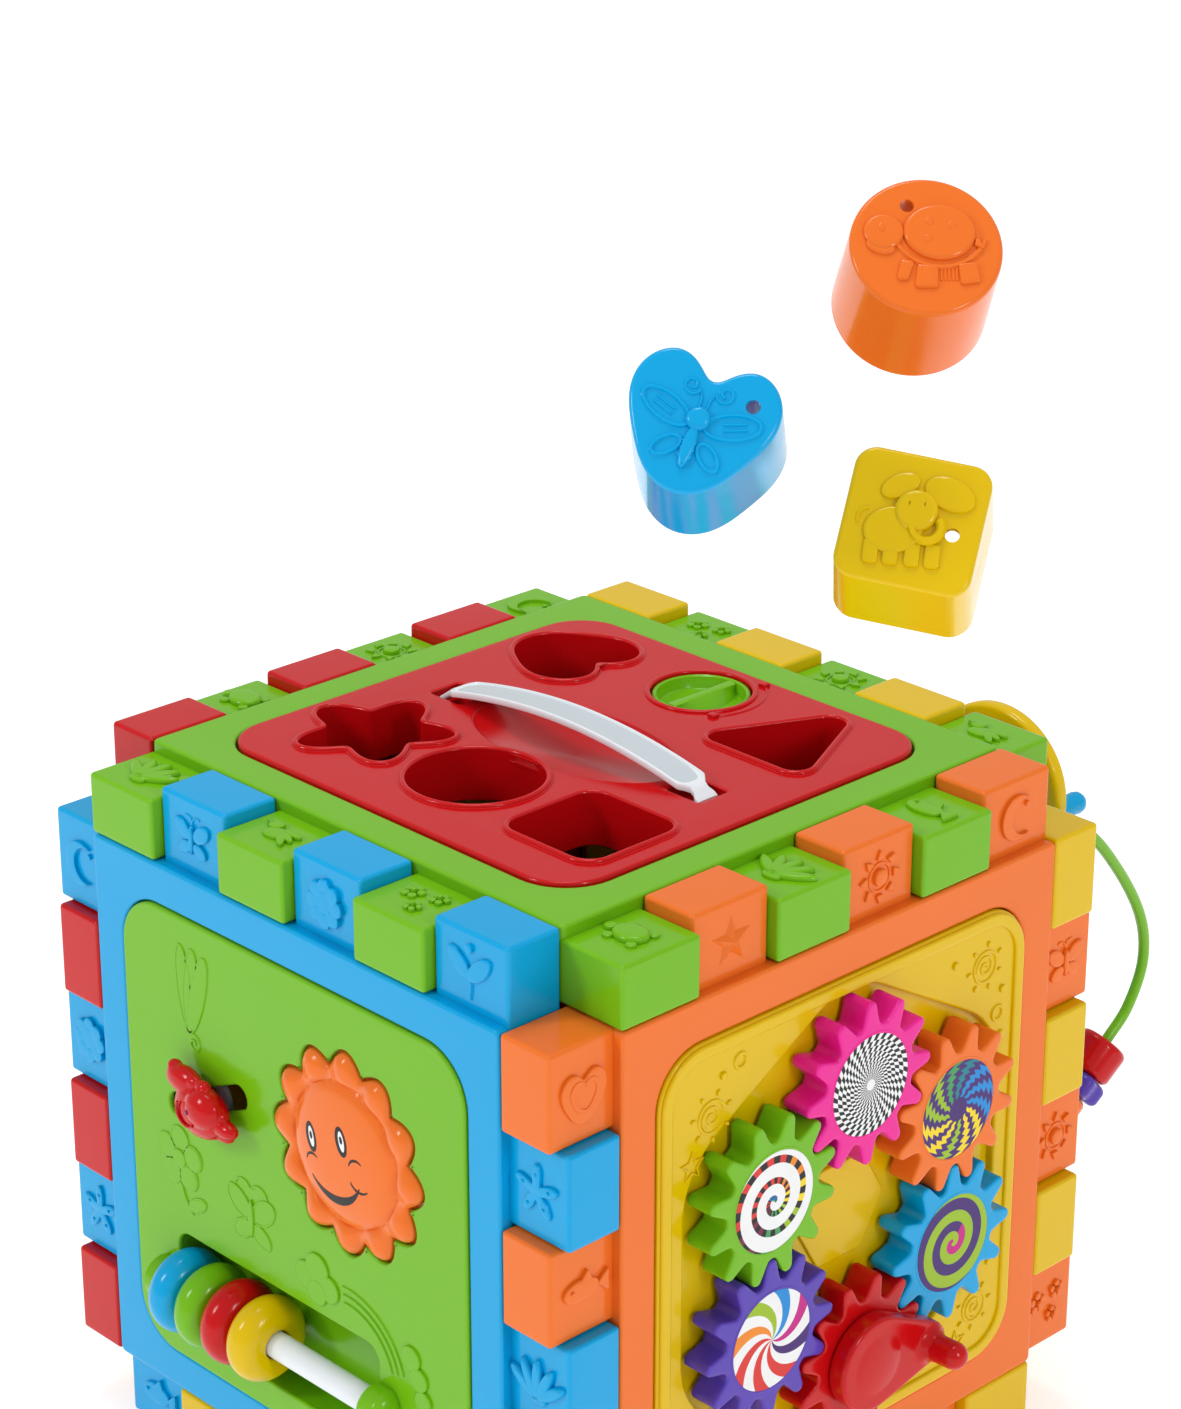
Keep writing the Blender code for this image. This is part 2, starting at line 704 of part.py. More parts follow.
def build_bird():
    """A small bird on a shank that slides in the slanting slot."""
    base = HALF + PLATE_PROUD + GAP
    mid = base + 0.006
    body = ball(0.012, (0, 0, mid), (1.25, 0.95, 0.5))
    head = ball(0.0085, (-0.001, 0.0105, mid + 0.001), (1.1, 0.85, 0.6), 6)
    tail = ball(0.0075, (-0.0165, 0.0105, mid), (1.25, 0.75, 0.5), 6)
    beak = ball(0.004, (0.0165, -0.002, mid), (1.7, 0.8, 0.8), 5)
    shank = rod(BIRD_SHANK, HALF + PLATE_PROUD - PLATE_SKIN - GAP, mid, steps=20)
    bird = join(body, head, tail, beak, shank)
    part(bird, "bird_slider", "red", "front", (*BIRD_PLACE, 0))
    back = HALF + PLATE_PROUD - PLATE_SKIN - GAP
    washer = slab([circle(0.0095, 24)], back - GAP - 0.002, back - GAP)
    part(washer, "bird_retainer", "grey", "front", (*BIRD_PLACE, 0))


def build_sound():
    """Sound and light module behind the sun: case, board, dome switch, speaker, cells."""
    wall = 0.002
    low = HOUSING_TOP - HOUSING_DEPTH
    bay_floor = low + 0.0165
    middle = ((HOUSING_LOW[0] + HOUSING_HIGH[0]) / 2, (HOUSING_LOW[1] + HOUSING_HIGH[1]) / 2)
    bay_half = (BATTERY_LENGTH / 2 + 0.003, 2 * BATTERY_RADIUS + 0.002)
    room = box((*HOUSING_LOW, bay_floor), (*HOUSING_HIGH, HOUSING_TOP))
    box_low = (middle[0] - bay_half[0] - wall, middle[1] - bay_half[1] - wall, low)
    box_high = (middle[0] + bay_half[0] + wall, middle[1] + bay_half[1] + wall, bay_floor + wall / 2)
    case = join(room, box(box_low, box_high))
    front_room = box(
        (HOUSING_LOW[0] + wall, HOUSING_LOW[1] + wall, bay_floor + wall),
        (HOUSING_HIGH[0] - wall, HOUSING_HIGH[1] - wall, HOUSING_TOP + 0.001),
    )
    bay = box(
        (middle[0] - bay_half[0], middle[1] - bay_half[1], low - 0.001),
        (middle[0] + bay_half[0], middle[1] + bay_half[1], bay_floor),
    )
    case = cut(case, front_room, bay)
    part(case, "sound_housing", "white", "front")

    board_low = (SUN_PLACE[0] - 0.026, SUN_PLACE[1] - 0.014, BOARD_TOP - 0.0016)
    board_high = (SUN_PLACE[0] + 0.026, SUN_PLACE[1] + 0.036, BOARD_TOP)
    stands = box(
        (SUN_PLACE[0] - 0.020, SUN_PLACE[1] - 0.006, bay_floor + wall + GAP),
        (SUN_PLACE[0] - 0.014, SUN_PLACE[1] + 0.030, BOARD_TOP - 0.001),
    )
    part(join(box(board_low, board_high), stands), "circuit_board", "board", "front")
    dome = turned(
        [(0, DOME_HEIGHT), (0.0035, DOME_HEIGHT - 0.0004), (0.0055, 0.0008), (0.0055, 0), (0, 0)],
        20,
    )
    part(dome, "switch_dome", "rubber", "front", (*SUN_PLACE, BOARD_TOP + GAP))
    speaker_place = (SUN_PLACE[0], HOUSING_LOW[1] + wall + 0.0115, bay_floor + wall + GAP)
    cone_profile = [(0, 0.0025), (0.006, 0.004), (0.0095, 0.006), (0.0105, 0.006), (0.0105, 0), (0, 0)]
    cone = turned(cone_profile, 24)
    part(cone, "speaker", "cell", "front", speaker_place)

    for i, sign in enumerate((-1, 1)):
        cell = rod(BATTERY_RADIUS, -BATTERY_LENGTH / 2, BATTERY_LENGTH / 2 - 0.001, steps=20)
        nub = rod(0.0027, BATTERY_LENGTH / 2 - 0.0015, BATTERY_LENGTH / 2, steps=12)
        cell = join(cell, nub)
        cell.data.transform(Matrix.Rotation(sign * pi / 2, 4, "Y"))
        place = (middle[0], middle[1] + sign * (BATTERY_RADIUS + 0.0005), bay_floor - BATTERY_RADIUS - GAP)
        part(cell, "battery_%d" % (i + 1), "cell", "front", place)
    door_low = (middle[0] - bay_half[0] + GAP, middle[1] - bay_half[1] + GAP, low)
    door_high = (middle[0] + bay_half[0] - GAP, middle[1] + bay_half[1] - GAP, low + 0.0015)
    screw_at = (middle[0] + bay_half[0] - 0.004, middle[1])
    door = cut(box(door_low, door_high), rod(0.0018, low - 0.001, low + 0.002, screw_at, 16))
    part(door, "battery_door", "white", "front")
    screw = join(
        rod(0.0030, -0.0015, -GAP, steps=16),
        rod(0.0013, -0.0010, 0.006, steps=12),
    )
    screw = cut(screw, box((-0.0022, -0.0004, -0.002), (0.0022, 0.0004, -0.0010)))
    part(screw, "battery_screw", "steel", "front", (*screw_at, low))


# ---------------------------------------------------------------- gears
def gear_outline():
    """Rounded teeth on a rounded root, the first tooth on +X."""
    pitch = 2 * pi / GEAR_TEETH
    tip = GEAR_RING / 2 + GEAR_TOOTH_DEPTH / 2
    root = GEAR_RING / 2 - GEAR_TOOTH_DEPTH / 2 - 0.0005
    shape = ((root, -0.38), (root + 0.0022, -0.29), (tip - 0.0014, -0.145))
    points = []
    for tooth in range(GEAR_TEETH):
        middle = tooth * pitch
        side = [(r, middle + share * pitch) for r, share in shape]
        side.append((tip, middle - 0.065 * pitch))
        other = [(r, 2 * middle - angle) for r, angle in reversed(side)]
        for r, angle in side + other:
            points.append((r * cos(angle), r * sin(angle)))
    return points


GEAR_COLOURS = ("pink", "orange", "blue", "red", "purple", "green")
GEAR_LOW = HALF - GEAR_FLOOR + 0.002


def gear_place(i):
    angle = pi / 2 - i * pi / 3
    return (GEAR_RING * cos(angle), GEAR_RING * sin(angle))


def build_gears():
    """Yellow plate with a shallow well, and six gears that all turn together."""
    well_radius = GEAR_RING / 2 + GEAR_TOOTH_DEPTH / 2 + 0.002
    well = hull_of_circles(well_radius, GEAR_RING, 6, 4)
    plate = tray(PLATE_PROUD, [well])
    floor_at = HALF - GEAR_FLOOR
    wall = hull_of_circles(well_radius + PLATE_WALL, GEAR_RING, 6, 4)
    edge = slab([wall, well], floor_at - 0.001, HALF - 0.0008)
    floor = slab([wall], floor_at - PLATE_WALL, floor_at)
    pad = slab([rounded(polar(lambda a: 0.0245, 6), 0.004, 2)], floor_at - 0.0005, floor_at + 0.0015)
    posts = []
    for i in range(6):
        x, y = gear_place(i)
        collar = rod(0.008, floor_at - 0.0005, GEAR_LOW - GAP, (x, y), 12)
        post = rod(POST_RADIUS, floor_at - 0.0005, GEAR_LOW + GEAR_THICKNESS - 0.004, (x, y), 12)
        posts.extend((collar, post))
    plate = join(plate, edge, floor, pad, *posts)
    part(plate, "gear_plate", "yellow", "right")
    for i, colour in enumerate(GEAR_COLOURS):
        body = slab([gear_outline()], 0, GEAR_THICKNESS)
        body = cut(body, rod(GEAR_BORE, -0.001, GEAR_THICKNESS - 0.0035, steps=12))
        phase = pi / GEAR_TEETH if i % 2 else 0.0
        part(body, "gear_" + colour, colour, "right", (*gear_place(i), GEAR_LOW), phase)

    arm = hull_arm(CRANK_HUB, PEG_RADIUS + 0.0035, CRANK_ARM)
    crank = soften(slab([arm], 0, CRANK_THICKNESS), 0.0012)
    peg_low = CRANK_THICKNESS - 0.0015
    peg_top = CRANK_THICKNESS + PEG_LENGTH
    peg = turned(
        [
            (0, peg_top),
            (PEG_RADIUS * 0.6, peg_top - PEG_RADIUS * 0.2),
            (PEG_RADIUS * 0.9, peg_top - PEG_RADIUS * 0.6),
            (PEG_RADIUS, peg_top - PEG_RADIUS * 1.1),
            (PEG_RADIUS + 0.0008, peg_low),
            (0, peg_low),
        ],
        20,
    )
    peg.data.transform(Matrix.Translation((CRANK_ARM, 0, 0)))
    crank = join(crank, peg)
    place = (*gear_place(3), GEAR_LOW + GEAR_THICKNESS + GAP)
    part(crank, "crank_handle", "red", "right", place, radians(-7))


def hull_arm(big, small, length):
    """A teardrop: a big circle at the origin wrapped with a small one along +X."""
    lean = pi / 2 - atan2(big - small, sqrt(length ** 2 - (big - small) ** 2))
    points = []
    for i in range(9):
        angle = -lean + 2 * lean * i / 8
        points.append((length + small * cos(angle), small * sin(angle)))
    for i in range(17):
        angle = lean + (2 * pi - 2 * lean) * i / 16
        points.append((big * cos(angle), big * sin(angle)))
    return points


# ---------------------------------------------------------------- rear, left and bottom
RUN_START = Vector((-0.100, -0.026, HALF + 0.075))
RUN_END = Vector((-0.090, -0.080, HALF + 0.019))
WIRE_TOP = (-0.090, 0.084)
WIRE_LOW = (-0.086, -0.090)


def smooth_route(points, steps):
    """A Catmull-Rom curve through points."""
    route = []
    ends = [2 * points[0] - points[1], *points, 2 * points[-1] - points[-2]]
    for i in range(1, len(ends) - 2):
        a, b, c, d = ends[i - 1 : i + 3]
        for k in range(steps):
            t = k / steps
            route.append(
                0.5
                * (2 * b + (c - a) * t + (2 * a - 5 * b + 4 * c - d) * t**2 + (3 * b - a - 3 * c + d) * t**3)
            )
    route.append(points[-1])
    return route


def wire_route():
    """The bead wire: out of its top socket, round a wide loop, then straight down the bead run."""
    seat = HALF + PLATE_PROUD
    loop = [
        Vector((*WIRE_TOP, seat + 0.008)),
        Vector((-0.100, 0.094, seat + 0.024)),
        Vector((-0.1055, 0.085, seat + 0.045)),
        Vector((-0.106, 0.060, seat + 0.068)),
        Vector((-0.105, 0.032, seat + 0.0865)),
        Vector((-0.103, 0.008, seat + 0.0930)),
        Vector((-0.1013, -0.013, seat + 0.0865)),
        RUN_START,
    ]
    route = [Vector((*WIRE_TOP, seat - 0.001)), *smooth_route(loop, 4), RUN_END]
    foot = [RUN_END, Vector((-0.0875, -0.0880, seat + 0.0115)), Vector((*WIRE_LOW, seat + 0.0070))]
    route.extend(smooth_route(foot, 3)[1:])
    route.append(Vector((*WIRE_LOW, seat - 0.001)))
    return route


def wire(name, colour, route, side):
    curve = bpy.data.curves.new(name, "CURVE")
    curve.dimensions = "3D"
    curve.bevel_depth = WIRE_RADIUS
    curve.bevel_resolution = 2
    curve.use_fill_caps = True
    spline = curve.splines.new("POLY")
    spline.points.add(len(route) - 1)
    for point, place in zip(spline.points, route):
        point.co = (*place, 1)
    part(flatten(mesh_object(curve, name)), name, colour, side)


def bead(length, radius, lobes):
    """A bead with its bore along Z, its start at the origin; lobes gives a flower section."""
    steps = 20

    def section(scale):
        return polar(lambda a: scale * (radius + lobes * radius * cos(5 * a)), steps)

    body = soften(slab([section(1.0)], 0, length), 0.0015, 60)
    return cut(body, rod(BEAD_BORE, -0.001, length + 0.001, steps=12))


def build_rear():
    """Bead maze: one looped wire with three beads, and a spinner with a finger peg."""
    seat = HALF + PLATE_PROUD
    plate = tray(PLATE_PROUD)
    sockets = []
    for place in (WIRE_TOP, WIRE_LOW):
        sockets.append(rod(SOCKET_RADIUS, seat - 0.001, seat + 0.0035, place, 20))
    spindle = rod(0.006, seat - 0.001, HALF + SPINNER_HEIGHT - GAP, SPINNER_PLACE, 20)
    pin = rod(PIN_RADIUS, seat, HALF + SPINNER_HEIGHT + SPINNER_THICKNESS - 0.002, SPINNER_PLACE, 16)
    plate = join(plate, *sockets, spindle, pin)
    bores = [rod(WIRE_RADIUS + GAP, seat - 0.0015, seat + 0.004, p, 16) for p in (WIRE_TOP, WIRE_LOW)]
    plate = cut(plate, *bores)
    part(plate, "maze_plate", "blue", "rear")
    wire("maze_wire", "green", wire_route(), "rear")

    run = (RUN_END - RUN_START).normalized()
    turn = run.to_track_quat("Z", "Y")
    start = 0.0004
    for colour, length, radius, lobes in (
        ("red", 0.017, 0.0115, 0.0),
        ("purple", 0.010, 0.0115, 0.14),
        ("orange", 0.013, 0.0095, 0.0),
    ):
        made = part(bead(length, radius, lobes), "bead_" + colour, colour, "rear")
        made.location = RUN_START + run * start
        made.rotation_mode = "QUATERNION"
        made.rotation_quaternion = turn
        start += length + GAP

    disc = slab([circle(SPINNER_RADIUS, 28)], 0, SPINNER_THICKNESS)
    pin_bore = rod(PIN_RADIUS + GEAR_PLAY, -0.001, SPINNER_THICKNESS - 0.0015, steps=16)
    disc = cut(soften(disc, 0.0015), pin_bore)
    place = (*SPINNER_PLACE, HALF + SPINNER_HEIGHT)
    part(disc, "spinner_disc", "yellow", "rear", place)
    peg_base = SPINNER_THICKNESS + GAP
    peg = turned(
        [
            (0, peg_base + 0.020),
            (0.003, peg_base + 0.0192),
            (0.005, peg_base + 0.0160),
            (0.0046, peg_base),
            (0, peg_base),
        ],
        20,
    )
    peg.data.transform(Matrix.Translation((-0.027, -0.007, 0)))
    part(peg, "spinner_peg", "blue", "rear", place)


def hand_outline(length, width):
    """A clock hand along +Y: a round eye, a straight shank and an arrow head."""
    eye = 0.0085
    points = []
    spread = atan2(width / 2, eye)
    for i in range(15):
        angle = pi / 2 + spread + (2 * pi - 2 * spread) * i / 14
        points.append((eye * cos(angle), eye * sin(angle)))
    head = length - 2.4 * width
    barb = 1.3 * width
    points.extend([(width / 2, head), (barb, head), (0, length), (-barb, head), (-width / 2, head)])
    return points


def build_left():
    """Play clock: raised dial and two hands that turn on one hub."""
    seat = HALF + PLATE_PROUD
    plate = tray(PLATE_PROUD)
    dial = slab([circle(DIAL_RADIUS, 32)], seat - 0.001, seat + 0.0015)
    hub = rod(HUB_RADIUS, seat, seat + 0.0105, steps=20)
    part(join(plate, dial, hub), "clock_plate", "yellow", "left")
    level = seat + 0.0015 + GAP
    for name, length, width, colour in (
        ("hour_hand", 0.036, 0.0075, "blue"),
        ("minute_hand", 0.054, 0.006, "green"),
    ):
        hand = slab([hand_outline(length, width), circle(HUB_RADIUS + GAP, 20)], 0, 0.0032)
        part(hand, name, colour, "left", (0, 0, level))
        level += 0.0032 + GAP
    cap = turned([(0, 0.0055), (0.004, 0.005), (0.0072, 0.003), (0.0078, 0), (0, 0)], 24)
    cap = cut(cap, rod(HUB_RADIUS + GAP, -0.001, 0.0028, steps=20))
    part(cap, "clock_cap", "red", "left", (0, 0, level))


def build_bottom():
    """Plain plate, flush with the frame that the cube stands on."""
    part(tray(0.0), "bottom_plate", "green", "bottom")


# ---------------------------------------------------------------- sorting blocks
BLOCK_COLOURS = {
    "circle": "orange",
    "heart": "blue",
    "square": "yellow",
    "star": "red",
    "triangle": "green",
}
KEY_PLACES = {
    "circle": (-0.0152, 0.0055),
    "heart": (0.0082, -0.0149),
    "square": (0.0135, -0.0023),
    "star": (0.011, 0.010),
    "triangle": (0.002, 0.012),
}
HOVER = {
    # place, how far it leans over, the heading it leans to from +X, and its own turn
    "circle": ((0.189, -0.019, 0.385), radians(46), radians(-39), 0),
    "heart": ((0.194, -0.127, 0.354), radians(54), radians(-48), radians(114)),
    "square": ((0.232, -0.066, 0.313), radians(52), radians(-50), radians(30)),
}


def block(outline, key):
    """A hollow cup of a shape, open underneath, with a small hole in its top."""
    low = -BLOCK_HEIGHT / 2
    high = BLOCK_HEIGHT / 2
    outer = outline(-BLOCK_CLEARANCE)
    cup = soften(slab([outer], low, high), 0.0012, 60)
    inner = slab([outline(-BLOCK_CLEARANCE - BLOCK_WALL)], low - 0.001, high - BLOCK_TOP)
    return cut(cup, inner, rod(KEY_HOLE, 0, high + 0.001, key, 12))


def build_blocks():
    """Three blocks hover over the lid; two lie in the bin under their holes."""
    for shape, (outline, place) in HOLES.items():
        made = part(block(outline, KEY_PLACES[shape]), "block_" + shape, BLOCK_COLOURS[shape])
        if shape in HOVER:
            spot, tilt, heading, spin = HOVER[shape]
            made.location = (spot[0], spot[1], spot[2] + HALF)
            lean = Matrix.Rotation(tilt, 4, Vector((-sin(heading), cos(heading), 0)))
            made.rotation_euler = (lean @ Matrix.Rotation(spin, 4, "Z")).to_euler()
        else:
            made.location = (*place, PLATE_SKIN + GAP + BLOCK_HEIGHT / 2)


build_frames()
build_lid()
build_front()
build_gears()
build_rear()
build_left()
build_bottom()
build_blocks()
bpy.data.collections.remove(CUTTERS)
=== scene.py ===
"""Looks of the baby activity cube: fine mouldings, reliefs, printed discs and studio."""

from functools import lru_cache
from math import atan2, cos, exp, hypot, pi, radians, sin, sqrt, tan

import bmesh
import bpy
from mathutils import Matrix, Vector


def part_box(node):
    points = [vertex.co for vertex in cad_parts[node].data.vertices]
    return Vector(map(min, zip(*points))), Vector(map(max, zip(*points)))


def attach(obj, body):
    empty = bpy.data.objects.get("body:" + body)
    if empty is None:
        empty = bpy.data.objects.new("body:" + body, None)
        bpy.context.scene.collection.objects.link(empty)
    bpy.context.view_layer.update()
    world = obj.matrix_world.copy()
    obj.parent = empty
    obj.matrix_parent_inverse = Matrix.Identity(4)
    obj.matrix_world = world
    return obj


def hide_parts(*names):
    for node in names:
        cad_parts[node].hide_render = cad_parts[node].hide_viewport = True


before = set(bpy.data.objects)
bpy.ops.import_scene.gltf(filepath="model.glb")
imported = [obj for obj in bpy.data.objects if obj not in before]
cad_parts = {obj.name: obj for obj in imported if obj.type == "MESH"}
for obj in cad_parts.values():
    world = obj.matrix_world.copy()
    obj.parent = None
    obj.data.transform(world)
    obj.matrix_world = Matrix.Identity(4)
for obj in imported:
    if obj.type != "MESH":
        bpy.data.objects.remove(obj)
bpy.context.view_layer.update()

# ---------------------------------------------------------------- sizes, in metres
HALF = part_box("top_frame")[1].z / 2      # half the cube's side
CELL = 0.040                             # width of a tooth
CORE = 3 * CELL
GAP = 0.0003
TOOTH_STEP = 0.005
WINDOW = CORE - 0.0177
WINDOW_RADIUS = 0.0225
LEDGE = 0.005
LEDGE_DEPTH = 0.008
PLATE = WINDOW - 0.0005
PLATE_TOP = HALF + 0.0008
PLATE_SKIN = 0.003
PLATE_WALL = 0.0022
SEAT = HALF - LEDGE_DEPTH + GAP
LID_TOP = HALF + 0.0012

RIM_HEIGHT = 0.0016
RIM_WIDTH = 0.0025
TUBE_DEPTH = 0.022
CIRCLE_HOLE = 0.0275
SQUARE_HOLE = 0.0245
BLOCK_CLEARANCE = 0.0012
BLOCK_HEIGHT = 0.043
BLOCK_WALL = 0.0022
BLOCK_TOP = 0.0026
KEY_HOLE = 0.0024
HANDLE_REACH = 0.075
HANDLE_RISE = 0.0105
DISH = (0.052, 0.027)
DISH_DEPTH = 0.0065
KNOB_RADIUS = 0.0205
KNOB_DEPTH = 0.0065
KNOB_PLACE = (-0.001, WINDOW - 0.0293)
KNOB_GUIDE = (-35, 60)    # the ends of the line beside the knob, in degrees

SUN_PLACE = (0.0345, 0.0365)
SUN_RADIUS = 0.0393
SUN_WAVE = 0.0036
SUN_RAYS = 12
SUN_FACE = 0.030
SUN_BACK = PLATE_TOP - PLATE_SKIN - GAP
SUN_FRONT = HALF + 0.0018
SUN_RISE = 0.0042
BIRD_PLACE = (-0.051, 0.026)
BIRD_TILT = radians(25)
BIRD_SLOT = (0.054, 0.0105)
TROUGH_LOW = (-0.074, -0.088)
TROUGH_HIGH = (0.050, -0.042)
TROUGH_DEPTH = 0.017
ROD_RADIUS = 0.0055
ROD_HEIGHT = 0.004
BOSS_RADIUS = 0.0092
RING_RADIUS = 0.018
RING_WIDTH = 0.0165
RING_BORE = 0.0062

GEAR_RING = 0.060
GEAR_TEETH = 12
GEAR_THICKNESS = 0.013
GEAR_TOOTH_DEPTH = 0.0093
GEAR_FLOOR = 0.003
GEAR_LOW = HALF - GEAR_FLOOR + 0.002
GEAR_PRINT = 0.0208
CRANK_ARM = 0.031
CRANK_HUB = 0.020
CRANK_THICKNESS = 0.0085
PEG_RADIUS = 0.0058
PEG_LENGTH = 0.018

WIRE_RADIUS = 0.0025
BEAD_BORE = 0.0033
SPINNER_PLACE = (-0.060, 0.095)
SPINNER_RADIUS = 0.036
SPINNER_HEIGHT = 0.038
SPINNER_THICKNESS = 0.007
DIAL_RADIUS = 0.066
HUB_RADIUS = 0.0045
HAND_THICKNESS = 0.0032

RELIEF = 0.0014           # height of the raised motifs
MOTIF_SINK = 0.0006       # how far a motif's back goes into its panel
SOFT_EDGE = 0.0014        # rounding of the mouldings' edges
WELD = 0.000004           # vertices nearer than this are one
SHARP = radians(42)       # an edge that turns more than this stays crisp
PRINT_THICKNESS = 0.0003

SIDES = {
    "top": ((1, 0, 0), (0, 1, 0)),
    "front": ((1, 0, 0), (0, 0, 1)),
    "right": ((0, 1, 0), (0, 0, 1)),
    "rear": ((-1, 0, 0), (0, 0, 1)),
    "left": ((0, -1, 0), (0, 0, 1)),
    "bottom": ((1, 0, 0), (0, -1, 0)),
}


def side_matrix(side):
    """From a panel's own frame, +Z out of the cube, to the frame of the whole part."""
    right, up = (Vector(v) for v in SIDES[side])
    turn = Matrix((right, up, right.cross(up))).transposed().to_4x4()
    return Matrix.Translation((0, 0, HALF)) @ turn


def shift(x, y, z=0.0, turn=0.0, scale=1.0):
    """A move in a panel's frame, with a turn about its +Z."""
    return Matrix.Translation((x, y, z)) @ Matrix.Rotation(turn, 4, "Z") @ Matrix.Scale(scale, 4)


# ---------------------------------------------------------------- materials
COLOURS = {
    "green": (0.165, 0.470, 0.006),
    "blue": (0.0, 0.360, 0.720),
    "orange": (0.840, 0.170, 0.018),
    "yellow": (0.740, 0.490, 0.0),
    "red": (0.560, 0.003, 0.005),
    "pink": (0.820, 0.012, 0.300),
    "purple": (0.095, 0.050, 0.430),
    "white": (0.800, 0.840, 0.880),
    "pale_grey": (0.560, 0.620, 0.660),
    "grey": (0.300, 0.310, 0.330),
}
INKS = {
    "black": (0.012, 0.010, 0.012),
    "white": (0.860, 0.870, 0.880),
    "yellow": (0.900, 0.680, 0.020),
    "orange": (0.850, 0.260, 0.020),
    "red": (0.700, 0.035, 0.030),
    "maroon": (0.190, 0.015, 0.060),
    "lime": (0.330, 0.520, 0.020),
    "leaf": (0.060, 0.330, 0.110),
    "teal": (0.010, 0.220, 0.280),
    "sky": (0.010, 0.260, 0.680),
    "violet": (0.060, 0.020, 0.170),
    "magenta": (0.560, 0.012, 0.240),
}


def wired(tree, kind, inputs, **settings):
    """Add a node, set its options, and link or set its inputs."""
    node = tree.nodes.new(kind)
    for key, value in settings.items():
        setattr(node, key, value)
    for key, value in inputs.items():
        if isinstance(value, bpy.types.NodeSocket):
            tree.links.new(value, node.inputs[key])
        else:
            node.inputs[key].default_value = value
    return node


def surface(name, colour, drift, gloss, grain, metallic=0.0, coat=0.0):
    """A moulded or printed surface: colour drift, uneven gloss and a fine skin, all from noise.

    drift is (scale, share darker), gloss (low, high) roughness, grain (scale, height in metres).
    """
    made = bpy.data.materials.new(name)
    made.use_nodes = True
    tree = made.node_tree
    shader = tree.nodes["Principled BSDF"]
    where = wired(tree, "ShaderNodeTexCoord", {}).outputs["Object"]
    broad = wired(tree, "ShaderNodeTexNoise", {"Vector": where, "Scale": drift[0], "Detail": 3.0})
    darker = tuple(c * (1 - drift[1]) for c in colour)
    tint = wired(
        tree,
        "ShaderNodeMix",
        {0: broad.outputs["Fac"], 6: (*darker, 1), 7: (*colour, 1)},
        data_type="RGBA",
    )
    tree.links.new(tint.outputs[2], shader.inputs["Base Color"])
    flow = wired(tree, "ShaderNodeTexNoise", {"Vector": where, "Scale": 60.0, "Detail": 4.0})
    rough = wired(
        tree,
        "ShaderNodeMapRange",
        {
            "Value": flow.outputs["Fac"],
            "From Min": 0.3,
            "From Max": 0.7,
            "To Min": gloss[0],
            "To Max": gloss[1],
        },
    )
    tree.links.new(rough.outputs["Result"], shader.inputs["Roughness"])
    skin = wired(tree, "ShaderNodeTexNoise", {"Vector": where, "Scale": grain[0], "Detail": 2.0})
    bump = wired(
        tree,
        "ShaderNodeBump",
        {"Height": skin.outputs["Fac"], "Strength": 0.35, "Distance": grain[1]},
    )
    tree.links.new(bump.outputs["Normal"], shader.inputs["Normal"])
    shader.inputs["Metallic"].default_value = metallic
    shader.inputs["Specular IOR Level"].default_value = 0.22
    shader.inputs["Coat Weight"].default_value = coat
    shader.inputs["Coat Roughness"].default_value = 0.12
    return made


@lru_cache(None)
def plastic(colour):
    """Glossy moulded plastic."""
    look = ((14.0, 0.06), (0.13, 0.21), (300.0, 0.00005))
    return surface(colour + "_moulding", COLOURS[colour], *look, coat=0.08)


@lru_cache(None)
def ink(colour):
    """Print under a clear film."""
    look = ((90.0, 0.10), (0.26, 0.36), (900.0, 0.00003))
    return surface(colour + "_ink", INKS[colour], *look, coat=0.03)


@lru_cache(None)
def other(name):
    """Surfaces of the hidden works."""
    kinds = {
        "wire_coat": (COLOURS["green"], (40.0, 0.08), (0.24, 0.34), (700.0, 0.00005), 0.0, 0.3),
        "board": ((0.02, 0.20, 0.07), (60.0, 0.25), (0.35, 0.50), (800.0, 0.00008), 0.0, 0.1),
        "rubber": ((0.50, 0.51, 0.53), (80.0, 0.12), (0.60, 0.80), (600.0, 0.00010), 0.0, 0.0),
        "steel": ((0.60, 0.60, 0.62), (200.0, 0.15), (0.28, 0.45), (900.0, 0.00005), 1.0, 0.0),
        "cell_wrap": ((0.05, 0.05, 0.06), (60.0, 0.20), (0.25, 0.40), (500.0, 0.00005), 0.0, 0.2),
    }
    colour, drift, gloss, grain, metallic, coat = kinds[name]
    return surface(name, colour, drift, gloss, grain, metallic, coat)


# ---------------------------------------------------------------- outlines
def at_angle(radius, angle, centre=(0, 0)):
    return (centre[0] + radius * cos(angle), centre[1] + radius * sin(angle))


def turns(steps):
    """The angles of equal steps round a full turn."""
    return [2 * pi * i / steps for i in range(steps)]


def quarter(steps):
    """The angles of equal steps over a quarter turn, both ends included."""
    return [pi / 2 * k / steps for k in range(steps + 1)]


def circle(radius, steps=64, centre=(0, 0)):
    return [at_angle(radius, angle, centre) for angle in turns(steps)]


def ellipse(a, b, centre=(0, 0), turn=0.0, steps=32):
    return moved([(a * cos(angle), b * sin(angle)) for angle in turns(steps)], centre, turn)


def rounded(corners, radius, steps=8):
    """A polygon, anticlockwise, with each corner rounded to the same radius."""
    points = []
    count = len(corners)
    for i, corner in enumerate(corners):
        here = Vector(corner)
        back = (Vector(corners[i - 1]) - here).normalized()
        ahead = (Vector(corners[(i + 1) % count]) - here).normalized()
        half = back.angle(ahead) / 2
        centre = here + (back + ahead).normalized() * (radius / sin(half))
        start = here + back * (radius / tan(half)) - centre
        first = atan2(start.y, start.x)
        for k in range(steps + 1):
            angle = first + (pi - 2 * half) * k / steps
            points.append((centre.x + radius * cos(angle), centre.y + radius * sin(angle)))
    return points


